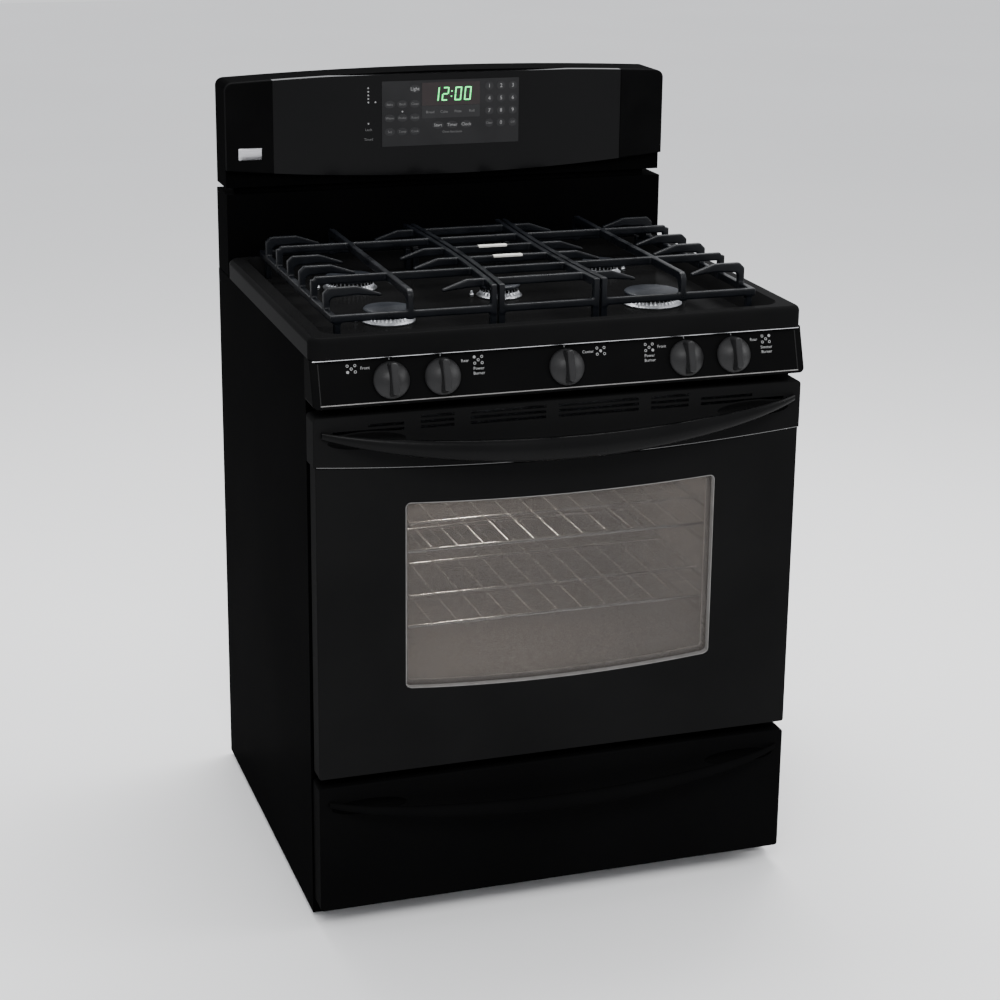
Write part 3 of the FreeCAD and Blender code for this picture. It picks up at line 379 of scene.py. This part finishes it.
def plate(form, outline, y_front, y_back):
    """A flat piece with an outline of (x, z) points, facing -Y."""
    front = [form.verts.new((x, y_front, z)) for x, z in outline]
    back = [form.verts.new((x, y_back, z)) for x, z in outline]
    form.faces.new(front)
    form.faces.new(list(reversed(back)))
    count = len(outline)
    for i in range(count):
        j = (i + 1) % count
        form.faces.new((front[i], back[i], back[j], front[j]))


def ring_plate(form, outer, inner, y_front, y_back):
    """A flat frame between two outlines with the same number of points."""
    count = len(outer)
    loops = [[form.verts.new((x, y, z)) for x, z in line]
             for line, y in ((outer, y_front), (inner, y_front), (inner, y_back), (outer, y_back))]
    for a, b in ((0, 1), (1, 2), (2, 3), (3, 0)):
        for i in range(count):
            j = (i + 1) % count
            form.faces.new((loops[a][i], loops[a][j], loops[b][j], loops[b][i]))


def rounded_rectangle(x0, x1, z0, z1, radius, steps=6):
    points = []
    corners = ((x1 - radius, z1 - radius, 0), (x0 + radius, z1 - radius, 90),
               (x0 + radius, z0 + radius, 180), (x1 - radius, z0 + radius, 270))
    for cx, cz, start in corners:
        for i in range(steps + 1):
            angle = math.radians(start + 90 * i / steps)
            points.append((cx + radius * math.cos(angle), cz + radius * math.sin(angle)))
    return points


def oval(cx, cz, half_x, half_z, steps=28):
    return [(cx + half_x * math.cos(2 * math.pi * i / steps), cz + half_z * math.sin(2 * math.pi * i / steps))
            for i in range(steps)]


def block(form, low, high, edge):
    """A box with rounded edges."""
    made = bmesh.ops.create_cube(form, size=1.0)
    middle = [(a + b) / 2 for a, b in zip(low, high)]
    size = [b - a for a, b in zip(low, high)]
    for vert in made["verts"]:
        vert.co = Vector([m + s * c for m, s, c in zip(middle, size, vert.co)])
    edges = {e for v in made["verts"] for e in v.link_edges}
    bmesh.ops.bevel(form, geom=list(edges), offset=edge, segments=3, profile=0.5, affect="EDGES")


def window_outline(grow, steps=24):
    """The window's outline: straight sides, and long edges that bow down."""
    low = OUTER_PANE_LOW
    high = OUTER_PANE_HIGH
    half = high.x - PANE_MARGIN + grow
    bottom_mid = low.z + PANE_MARGIN - grow
    top_end = high.z - PANE_MARGIN + grow
    bottom_sag = 0.011
    top_sag = 0.008
    corner = WINDOW_CORNER + max(grow, -0.004)
    points = []
    for i in range(steps + 1):
        x = -half + corner + 2 * (half - corner) * i / steps
        points.append((x, bottom_mid + bottom_sag * (x / half) ** 2))
    points += corner_arc(half - corner, bottom_mid + bottom_sag + corner, corner, 270)
    points += corner_arc(half - corner, top_end - corner, corner, 0)
    for i in range(steps + 1):
        x = half - corner - 2 * (half - corner) * i / steps
        points.append((x, top_end - top_sag * (1 - (x / half) ** 2)))
    points += corner_arc(-half + corner, top_end - corner, corner, 90)
    points += corner_arc(-half + corner, bottom_mid + bottom_sag + corner, corner, 180)
    return points


def corner_arc(cx, cz, radius, start, steps=5):
    return [(cx + radius * math.cos(math.radians(start + 90 * i / steps)),
             cz + radius * math.sin(math.radians(start + 90 * i / steps))) for i in range(1, steps)]


# ------------------------------------------------------------------ lettering
def lettering(text, size):
    """Flat letters as a mesh, centred on the origin in the XY plane."""
    curve = bpy.data.curves.new("letters", "FONT")
    curve.body = text
    curve.size = size
    curve.align_x = "CENTER"
    curve.align_y = "CENTER"
    curve.resolution_u = 2
    curve.extrude = 0.00008
    holder = bpy.data.objects.new("letters", curve)
    bpy.context.scene.collection.objects.link(holder)
    bpy.context.view_layer.update()
    mesh = bpy.data.meshes.new_from_object(holder.evaluated_get(bpy.context.evaluated_depsgraph_get()))
    bpy.data.objects.remove(holder)
    bpy.data.curves.remove(curve)
    return mesh


def upright(x, y, z):
    """Places a flat mesh so that it faces the front of the range."""
    return Matrix.Translation((x, y, z)) @ Matrix.Rotation(math.radians(90), 4, "X")


def add_letters(form, text, size, place):
    mesh = lettering(text, size)
    mesh.transform(place)
    form.from_mesh(mesh)
    bpy.data.meshes.remove(mesh)


# ------------------------------------------------------------------ cooktop
def softened_grate(name):
    """The cast grate with the rounded edges that a casting has."""
    node = NODES["grate_" + name]
    mesh = node.data.copy()
    form = bmesh.new()
    form.from_mesh(mesh)
    bmesh.ops.remove_doubles(form, verts=form.verts, dist=0.00001)
    form.to_mesh(mesh)
    form.free()
    work = bpy.data.objects.new("casting", mesh)
    bpy.context.scene.collection.objects.link(work)
    remesh = work.modifiers.new("remesh", "REMESH")
    remesh.mode = "VOXEL"
    remesh.voxel_size = 0.0014
    smooth = work.modifiers.new("smooth", "SMOOTH")
    smooth.factor = 0.5
    smooth.iterations = 4
    thin = work.modifiers.new("thin", "DECIMATE")
    thin.ratio = 0.22
    bpy.context.view_layer.update()
    done = bpy.data.meshes.new_from_object(work.evaluated_get(bpy.context.evaluated_depsgraph_get()))
    bpy.data.objects.remove(work)
    done.shade_smooth()
    piece = add_piece("grate_casting_" + name, done, "iron", "grate_" + name)
    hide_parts("grate_" + name)


def grate_highlight_pads():
    """Two pale pads on the middle bars of the centre grate, as painted highlights where light catches those
    bars.
    """
    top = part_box("grate_center")[1].z
    half_length = 0.024
    half_width = 0.0046
    thickness = 0.004
    bar_places = (-0.0317, 0.0447)
    form = bmesh.new()
    for y in bar_places:
        low = (-half_length, y - half_width, top - thickness)
        block(form, low, (half_length, y + half_width, top), 0.0012)
    add_piece("grate_highlight_pads", close_up(form, "grate_highlight_pads"), "pad_highlight", "grate_center")


def burner(name):
    """Burner head with its ring of ports, its cap, and an igniter beside it."""
    cap_low, cap_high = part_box("cap_" + name)
    centre = ((cap_low.x + cap_high.x) / 2, (cap_low.y + cap_high.y) / 2)
    radius = (cap_high.x - cap_low.x) / 2
    seat = cap_low.z + 0.003
    floor = seat - 0.015
    port_top = seat - 0.0012
    port_low = seat - 0.0062
    steps = 4 * max(20, int(radius * 900))
    form = bmesh.new()
    profile = [(0.018, floor - 0.014), (0.018, floor + 0.0003), (radius + 0.0028, floor + 0.0003),
               (radius + 0.003, floor + 0.0020), (radius - 0.001, floor + 0.0052),
               (radius - 0.0024, port_low), (radius - 0.0024, port_top),
               (radius - 0.0034, seat - 0.0004), (radius - 0.008, seat - 0.0004),
               (radius - 0.008, seat - 0.005), (0, seat - 0.005)]
    lathe(form, profile, steps, (*centre, 0))
    for vert in form.verts:
        reach = math.hypot(vert.co.x - centre[0], vert.co.y - centre[1])
        if port_low - 1e-6 < vert.co.z < port_top + 1e-6 and reach > radius - 0.004:
            turn = math.atan2(vert.co.y - centre[1], vert.co.x - centre[0])
            step = round(turn / (2 * math.pi) * steps) % 4
            if step in (0, 1):
                inward = (reach - 0.0030) / reach
                vert.co.x = centre[0] + (vert.co.x - centre[0]) * inward
                vert.co.y = centre[1] + (vert.co.y - centre[1]) * inward
    mesh = close_up(form, "burner_head_" + name, 30)
    head = add_piece("burner_head_" + name, mesh, "aluminium", "cabinet")
    mesh.materials.append(MATERIALS["slot"])
    for face in mesh.polygons:
        reach = math.hypot(face.center.x - centre[0], face.center.y - centre[1])
        if port_low < face.center.z < port_top and reach < radius - 0.0035:
            face.material_index = 1
    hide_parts("burner_heads")

    top = cap_high.z
    form = bmesh.new()
    dome = [(radius - 0.009, cap_low.z), (radius - 0.009, seat), (radius - 0.0012, seat)]
    edge_z = seat + 0.0028
    for i in range(7):
        angle = math.radians(-90 + 180 * i / 6)
        dome.append((radius - 0.0026 + 0.0026 * math.cos(angle), edge_z + 0.0026 * math.sin(angle)))
    crown = edge_z + 0.0026
    for i in range(1, 9):
        part = i / 8
        dome.append(((radius - 0.0026) * (1 - part), crown + (top - crown) * math.sin(part * math.pi / 2)))
    lathe(form, [(0, cap_low.z)] + dome, 96, (*centre, 0))
    cap = add_piece("burner_cap_" + name, close_up(form, "burner_cap_" + name, 50), "cap",
                    "cap_" + name)
    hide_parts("cap_" + name)

    side = -1 if centre[0] <= 0.01 else 1
    form = bmesh.new()
    post = [(0, floor + 0.0003), (0.0036, floor + 0.0003), (0.0036, floor + 0.0040), (0.0022, floor + 0.0050),
            (0.0022, floor + 0.0085), (0.0015, floor + 0.0097), (0, floor + 0.0100)]
    lathe(form, post, 24, (centre[0] + side * (radius + 0.0115), centre[1] + 0.004, 0))
    add_piece("igniter_" + name, close_up(form, "igniter_" + name, 40), "aluminium", "cabinet")


# ------------------------------------------------------------------ control panel
def panel_y(z):
    """The control panel's leaning face at height z."""
    return FACE_POINT_Y + (z - KNOB_Z) * math.tan(PANEL_TILT)


def on_panel(x, z, lift=0.0):
    """A place on the control panel's face: local Y runs up it and local Z points out."""
    out = Vector((0, -math.cos(PANEL_TILT), math.sin(PANEL_TILT)))
    turn = Matrix.Rotation(math.radians(90) - PANEL_TILT, 4, "X")
    return Matrix.Translation(Vector((x, panel_y(z), z)) + out * lift) @ turn


def knob_x(number):
    low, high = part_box("knob_%d" % number)
    return (low.x + high.x) / 2


def knob_mesh():
    """A round skirt with a tall blade, in the knob's own space."""
    form = bmesh.new()
    gap = 0.004
    skirt = [(0, gap), (0.0262, gap), (0.0269, gap + 0.0008), (0.0266, gap + 0.0026), (0.0256, gap + 0.0038),
             (0.0236, gap + 0.0056), (0.0200, gap + 0.0082), (0.0150, gap + 0.0112), (0.0100, gap + 0.0134),
             (0.0050, gap + 0.0144), (0, gap + 0.0147)]
    lathe(form, skirt, 96)
    rows = []
    for height, reach, half in ((gap + 0.001, 0.0250, 0.0066), (gap + 0.010, 0.0244, 0.0062),
                                (gap + 0.020, 0.0236, 0.0056), (gap + 0.0238, 0.0228, 0.0050),
                                (gap + 0.0250, 0.0212, 0.0036)):
        outline = rounded_rectangle(-half, half, -reach, reach, half * 0.75, 5)
        rows.append([form.verts.new((x, y, height)) for x, y in outline])
    for low, high in zip(rows, rows[1:]):
        for i in range(len(low)):
            j = (i + 1) % len(low)
            form.faces.new((low[i], low[j], high[j], high[i]))
    form.faces.new(rows[-1])
    form.faces.new(list(reversed(rows[0])))
    return close_up(form, "knob", 32)


def knobs():
    model = knob_mesh()
    for number in KNOB_NUMBERS:
        place = on_panel(knob_x(number), KNOB_Z)
        mesh = model.copy()
        mesh.transform(place)
        piece = add_piece("control_knob_%d" % number, mesh, "knob", "knob_%d" % number)
        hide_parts("knob_%d" % number)
        form = bmesh.new()
        block(form, (-0.0009, 0.0100, 0.0284), (0.0009, 0.0205, 0.0288), 0.00015)
        bmesh.ops.transform(form, matrix=place, verts=form.verts)
        add_piece("knob_mark_%d" % number, close_up(form, "mark"), "print", "knob_%d" % number)
    bpy.data.meshes.remove(model)


def print_on_panel(form, outline, inner, place):
    """A thin closed shape on the panel, with an optional hole. Its outline is (across, up) points."""
    part = bmesh.new()
    if inner:
        ring_plate(part, outline, inner, -PRINT_PROUD, PRINT_SUNK)
    else:
        plate(part, outline, -PRINT_PROUD, PRINT_SUNK)
    turn = Matrix.Rotation(math.radians(-90), 4, "X")
    bmesh.ops.transform(part, matrix=place @ turn, verts=part.verts)
    mesh = bpy.data.meshes.new("print")
    part.to_mesh(mesh)
    part.free()
    form.from_mesh(mesh)
    bpy.data.meshes.remove(mesh)


def burner_icon(form, x, z, active):
    """Five small rings in an X that show which burner a knob works."""
    spots = ((-1, -1), (-1, 1), (0, 0), (1, -1), (1, 1))
    place = on_panel(x, z)
    for index, (column, row) in enumerate(spots):
        cx = column * 0.0056
        cy = row * 0.0045
        inner = None if index == active else oval(cx, cy, 0.0013, 0.0013, 18)
        print_on_panel(form, oval(cx, cy, 0.0021, 0.0021, 18), inner, place)


def knob_labels():
    """Printed icons and generic words beside the knobs."""
    labels = {
        1: (-1, 0, ("Front",)),
        2: (1, 1, ("Rear", "Power", "Burner")),
        3: (1, 2, ("Center",)),
        4: (-1, 3, ("Front", "Power", "Burner")),
        5: (1, 4, ("Rear", "Simmer", "Burner")),
    }
    form = bmesh.new()
    letter_size = 0.0062
    icon_z = KNOB_Z + 0.019
    tick_z = KNOB_Z + 0.0295
    tick = [(-0.0006, -0.0018), (0.0006, -0.0018), (0.0006, 0.0018), (-0.0006, 0.0018)]
    for number, (side, active, words) in labels.items():
        x = knob_x(number)
        near = x + side * 0.036
        far = x + side * 0.056
        burner_icon(form, far, icon_z, active)
        add_letters(form, words[0], letter_size, on_panel(near, icon_z, LETTER_LIFT))
        for line, word in enumerate(words[1:], 1):
            place = on_panel(far, icon_z - 0.005 - 0.0066 * line, LETTER_LIFT)
            add_letters(form, word, letter_size, place)
        print_on_panel(form, tick, None, on_panel(x, tick_z))
    mesh = close_up(form, "panel_lettering")
    add_piece("panel_lettering", mesh, "print", "cabinet")


def panel_edges():
    """Thin bright lines along the control panel's upper and lower edges."""
    half = PANEL_HIGH.x
    top_z = PANEL_HIGH.z - 0.0018
    low_z = PANEL_LOW.z + 0.0055       # on the rounded lower edge, where it still faces forward
    low_y = PANEL_LOW.y + 0.0004
    for name, finish, y, z, inset in (("panel_upper_line", "bright", panel_y(top_z), top_z, 0.004),
                                      ("panel_lower_line", "edge", low_y, low_z, 0.011)):
        form = bmesh.new()
        block(form, (-half + inset, y - 0.0006, z - 0.0007), (half - inset, y + 0.0010, z + 0.0007), 0.0003)
        add_piece(name, close_up(form, name), finish, "cabinet")
    seam = [(-0.0007, -0.030), (0.0007, -0.030), (0.0007, 0.030), (-0.0007, 0.030)]
    seam_inset = 0.0115
    middle_z = (PANEL_LOW.z + PANEL_HIGH.z) / 2
    form = bmesh.new()
    for side in (-1, 1):
        print_on_panel(form, seam, None, on_panel(side * (half - seam_inset), middle_z))
    add_piece("panel_end_seams", close_up(form, "panel_end_seams"), "slot", "cabinet")


# ------------------------------------------------------------------ door
def window_trim():
    """Light edge round the window and the pale reveal between its panes."""
    form = bmesh.new()
    ring_plate(form, window_outline(0.0), window_outline(-0.0010), FACE_Y + 0.0016, FACE_Y + 0.0119)
    add_piece("window_edge", close_up(form, "window_edge"), "edge", "oven_door")
    form = bmesh.new()
    ring_plate(form, window_outline(0.0052), window_outline(-0.0070), OUTER_PANE_HIGH.y + 0.0003,
               INNER_PANE_LOW.y - 0.0003)
    add_piece("window_reveal", close_up(form, "window_reveal"), "reveal", "oven_door")


def trim_line():
    """The fine light line along the bowed lower edge of the door's trim."""
    half = TRIM_HIGH.x - 0.004
    steps = 48
    front = FACE_Y - 0.0002
    end_z = TRIM_LOW.z + TRIM_SAG
    upper = []
    lower = []
    for i in range(steps + 1):
        x = -half + 2 * half * i / steps
        z = end_z - TRIM_SAG * (1 - (x / half) ** 2)
        upper.append((x, z + 0.0011))
        lower.append((x, z + 0.0003))
    form = bmesh.new()
    rows = [[form.verts.new((x, y, z)) for x, z in line]
            for line, y in ((lower, front), (upper, front), (upper, FACE_Y + 0.001), (lower, FACE_Y + 0.001))]
    for a, b in ((0, 1), (1, 2), (2, 3), (3, 0)):
        for i in range(steps):
            form.faces.new((rows[a][i], rows[a][i + 1], rows[b][i + 1], rows[b][i]))
    form.faces.new([row[0] for row in rows])
    form.faces.new([row[-1] for row in reversed(rows)])
    add_piece("door_trim_line", close_up(form, "door_trim_line"), "faint", "oven_door")


def oven_lamp():
    """Glass dome on the back wall, high on the left."""
    form = bmesh.new()
    collar = [(0, 0), (0.028, 0), (0.028, 0.006), (0.024, 0.008), (0.024, 0.002), (0, 0.002)]
    lathe(form, collar, 48)
    turn = Matrix.Translation((CAVITY_LOW.x + 0.13, CAVITY_HIGH.y - 0.0016, 0.690))
    turn = turn @ Matrix.Rotation(math.radians(90), 4, "X")
    bmesh.ops.transform(form, matrix=turn, verts=form.verts)
    add_piece("oven_lamp_collar", close_up(form, "oven_lamp_collar"), "bright", "cabinet")
    form = bmesh.new()
    radius = 0.0235
    dome = [(0, 0.003), (radius, 0.003)]
    for degrees in range(0, 90, 10):
        angle = math.radians(degrees)
        dome.append((radius * math.cos(angle), 0.006 + 0.016 * math.sin(angle)))
    dome.append((0, 0.022))
    lathe(form, dome, 48)
    bmesh.ops.transform(form, matrix=turn, verts=form.verts)
    add_piece("oven_lamp_dome", close_up(form, "oven_lamp_dome", 60), "lamp", "cabinet")


# ------------------------------------------------------------------ console
def digit_bars(character):
    """Which of the seven bars are lit, from the top down and from left to right."""
    lit = {"0": "1110111", "1": "0010010", "2": "1011101"}
    return [flag == "1" for flag in lit[character]]


def clock_digits():
    """Leaning seven-bar figures that read 12:00."""
    width = 0.0115
    height = 0.0225
    bar = 0.0021
    centre_x = (OVERLAY_LOW.x + OVERLAY_HIGH.x) / 2
    z0 = OVERLAY_HIGH.z - 0.0345
    y = OVERLAY_LOW.y - 0.0006
    form = bmesh.new()

    def stroke(x, x0, x1, za, zb):
        lean = 0.10
        outline = [(x + x0 + lean * za, z0 + za), (x + x1 + lean * za, z0 + za),
                   (x + x1 + lean * zb, z0 + zb), (x + x0 + lean * zb, z0 + zb)]
        plate(form, outline, y, y + 0.0002)

    places = {0: -0.0330, 1: -0.0165, 3: 0.0055, 4: 0.0220}
    for index, x in places.items():
        top, upper_left, upper_right, middle, lower_left, lower_right, foot = digit_bars("12:00"[index])
        x += centre_x
        half = height / 2
        gap = 0.0004
        if top:
            stroke(x, bar, width - bar, height - bar, height)
        if upper_left:
            stroke(x, 0, bar, half + gap, height - gap)
        if upper_right:
            stroke(x, width - bar, width, half + gap, height - gap)
        if middle:
            stroke(x, bar, width - bar, half - bar / 2, half + bar / 2)
        if lower_left:
            stroke(x, 0, bar, gap, half - gap)
        if lower_right:
            stroke(x, width - bar, width, gap, half - gap)
        if foot:
            stroke(x, bar, width - bar, 0, bar)
    for z in (0.006, 0.0145):
        stroke(centre_x - 0.0012, 0, 0.0021, z, z + 0.0021)
    add_piece("clock_figures", close_up(form, "clock_figures"), "digit", "cabinet")


def key_rows():
    """The places of the function keys, number keys and small lamps on the keypad."""
    centre = (OVERLAY_LOW.x + OVERLAY_HIGH.x) / 2
    top = OVERLAY_HIGH.z
    functions = [(centre - 0.105 + 0.0215 * column, top - 0.038 - 0.0225 * row)
                 for row in range(3) for column in range(3)]
    numbers = {}
    for index, text in enumerate(("1", "2", "3", "4", "5", "6", "7", "8", "9", None, "0", None)):
        numbers[(centre + 0.0665 + 0.0205 * (index % 3), top - 0.0125 - 0.0205 * (index // 3))] = text
    lower = [(centre - 0.0225 + 0.0245 * i, top - 0.0745) for i in range(3)]
    return functions, numbers, lower


def keypad():
    """Display window, soft labels, key shapes, numbers and lamps."""
    functions, numbers, lower = key_rows()
    centre = (OVERLAY_LOW.x + OVERLAY_HIGH.x) / 2
    top = OVERLAY_HIGH.z
    y = OVERLAY_LOW.y
    letter_y = y - 0.0005
    side_letter_y = CONSOLE_FRONT_Y + 0.0006
    form = bmesh.new()
    plate(form, rounded_rectangle(centre - 0.050, centre + 0.050, top - 0.042, top - 0.004, 0.0016),
          y - PRINT_PROUD, y + PRINT_SUNK)
    add_piece("display_window", close_up(form, "display_window"), "lcd", "cabinet")
    form = bmesh.new()
    plate(form, rounded_rectangle(centre - 0.050, centre + 0.050, top - 0.0625, top - 0.0425, 0.0016),
          y - PRINT_PROUD, y + PRINT_SUNK)
    for x, z in functions:
        plate(form, oval(x, z, 0.0088, 0.0062), y - PRINT_PROUD, y + PRINT_SUNK)
    for x, z in numbers:
        plate(form, oval(x, z, 0.0072, 0.0066), y - PRINT_PROUD, y + PRINT_SUNK)
    for x, z in lower:
        plate(form, oval(x, z, 0.0100, 0.0060), y - PRINT_PROUD, y + PRINT_SUNK)
    plate(form, oval(centre - 0.0620, top - 0.0135, 0.0095, 0.0066), y - PRINT_PROUD, y + PRINT_SUNK)
    add_piece("keypad_keys", close_up(form, "keypad_keys"), "key", "cabinet")

    form = bmesh.new()
    for (x, z), text in numbers.items():
        if text:
            add_letters(form, text, 0.0088, upright(x, letter_y, z))
    add_letters(form, "Start", 0.0072, upright(lower[0][0], letter_y, lower[0][1]))
    add_letters(form, "Timer", 0.0072, upright(lower[1][0], letter_y, lower[1][1]))
    add_letters(form, "Clock", 0.0072, upright(lower[2][0], letter_y, lower[2][1]))
    add_letters(form, "Light", 0.0078, upright(centre - 0.0620, letter_y, top - 0.0135))
    add_piece("keypad_numbers", close_up(form, "keypad_numbers"), "print", "cabinet")

    form = bmesh.new()
    words = ("Bake", "Broil", "Clean", "Warm", "Probe", "Roast", "Set", "Temp", "Cook")
    for (x, z), word in zip(functions, words):
        add_letters(form, word, 0.0055, upright(x, letter_y, z))
    for index, word in enumerate(("Bread", "Cake", "Pizza", "Roll")):
        add_letters(form, word, 0.0062, upright(centre - 0.036 + 0.024 * index, letter_y, top - 0.0525))
    ends = [place for place, text in numbers.items() if not text]
    for (x, z), word in zip(ends, ("Clear", "Off")):
        add_letters(form, word, 0.0052, upright(x, letter_y, z))
    add_letters(form, "Oven functions", 0.0055, upright(centre + 0.002, letter_y, top - 0.0860))
    add_letters(form, "Lock", 0.0058, upright(centre - 0.141, side_letter_y, top - 0.0780))
    add_letters(form, "Timed", 0.0058, upright(centre - 0.141, side_letter_y, top - 0.0940))
    add_piece("keypad_words", close_up(form, "keypad_words"), "faint", "cabinet")

    form = bmesh.new()
    lights = [(centre - 0.141, top - 0.010 - 0.0058 * i) for i in range(5)]
    lights += [(centre - 0.129, top - 0.0332), (centre - 0.141, top - 0.068), (functions[4][0], top - 0.0500)]
    for x, z in lights:
        front = y - 0.0006 if x > OVERLAY_LOW.x else side_letter_y
        plate(form, oval(x, z, 0.0014, 0.0014, 14), front, front + 0.0004)
    add_piece("console_lamps", close_up(form, "console_lamps"), "print", "cabinet")


def badge():
    """A blank bright plate on the left end cap, with no lettering."""
    form = bmesh.new()
    low = (-0.358, CONSOLE_FRONT_Y - 0.0012, 1.0765)
    high = (-0.320, CONSOLE_FRONT_Y + 0.0006, 1.0955)
    block(form, low, high, 0.0006)
    add_piece("blank_badge", close_up(form, "blank_badge"), "bright", "cabinet")


# ------------------------------------------------------------------ studio
def area_light(name, place, target, size, power):
    light = bpy.data.lights.new(name, "AREA")
    light.shape = "RECTANGLE"
    light.size = size[0]
    light.size_y = size[1]
    light.energy = power
    holder = bpy.data.objects.new(name, light)
    bpy.context.scene.collection.objects.link(holder)
    holder.location = place
    holder.rotation_euler = (Vector(target) - Vector(place)).to_track_quat("-Z", "Y").to_euler()


def oven_light():
    """The oven lamp's own light, inside the cavity."""
    light = bpy.data.lights.new("oven_light", "POINT")
    light.energy = 4.1
    light.color = (1.0, 0.90, 0.80)
    light.shadow_soft_size = 0.05
    holder = bpy.data.objects.new("oven_light", light)
    bpy.context.scene.collection.objects.link(holder)
    holder.location = (-0.05, -0.02, 0.700)


def studio():
    form = bmesh.new()
    reach = 14.0
    corners = [(-reach, -reach, 0), (reach, -reach, 0), (reach, reach, 0), (-reach, reach, 0)]
    form.faces.new([form.verts.new(corner) for corner in corners])
    mesh = bpy.data.meshes.new("studio_floor")
    form.to_mesh(mesh)
    form.free()
    mesh.materials.append(MATERIALS["floor"])
    floor = bpy.data.objects.new("studio_floor", mesh)
    bpy.context.scene.collection.objects.link(floor)

    world = bpy.data.worlds.new("studio")
    world.use_nodes = True
    world.node_tree.nodes["Background"].inputs["Color"].default_value = (0.96, 0.97, 1.0, 1)
    world.node_tree.nodes["Background"].inputs["Strength"].default_value = 1.1
    bpy.context.scene.world = world

    middle = (0, 0, 0.7)
    area_light("key", (-0.9, -3.6, 3.9), middle, (2.4, 1.6), 110)
    area_light("top", (0.3, 0.9, 3.1), (0, 0, 0.9), (2.2, 1.2), 110)
    area_light("side", (3.2, -1.2, 2.2), middle, (1.4, 2.0), 45)


def camera():
    """The viewing angle: from the left front, a little above the cooktop."""
    data = bpy.data.cameras.new("view")
    data.sensor_width = 36.0
    data.lens = 79.96
    data.shift_y = -0.08
    data.clip_end = 60.0
    holder = bpy.data.objects.new("view", data)
    bpy.context.scene.collection.objects.link(holder)
    place = (-1.0749, -3.2407, 1.6764)
    down = 16.16
    sideways = -18.37
    roll = 0.59
    aim = Euler((math.radians(90 - down), 0, math.radians(sideways))).to_matrix()
    aim = aim @ Matrix.Rotation(math.radians(roll), 3, "Z")
    holder.matrix_world = Matrix.Translation(place) @ aim.to_4x4()
    bpy.context.scene.camera = holder


# ------------------------------------------------------------------ everything
finish_nodes()
for grate in GRATE_NAMES:
    softened_grate(grate)
grate_highlight_pads()
for burner_name in BURNER_NAMES:
    burner(burner_name)
knobs()
knob_labels()
panel_edges()
window_trim()
trim_line()
oven_lamp()
clock_digits()
keypad()
badge()
studio()
oven_light()
camera()
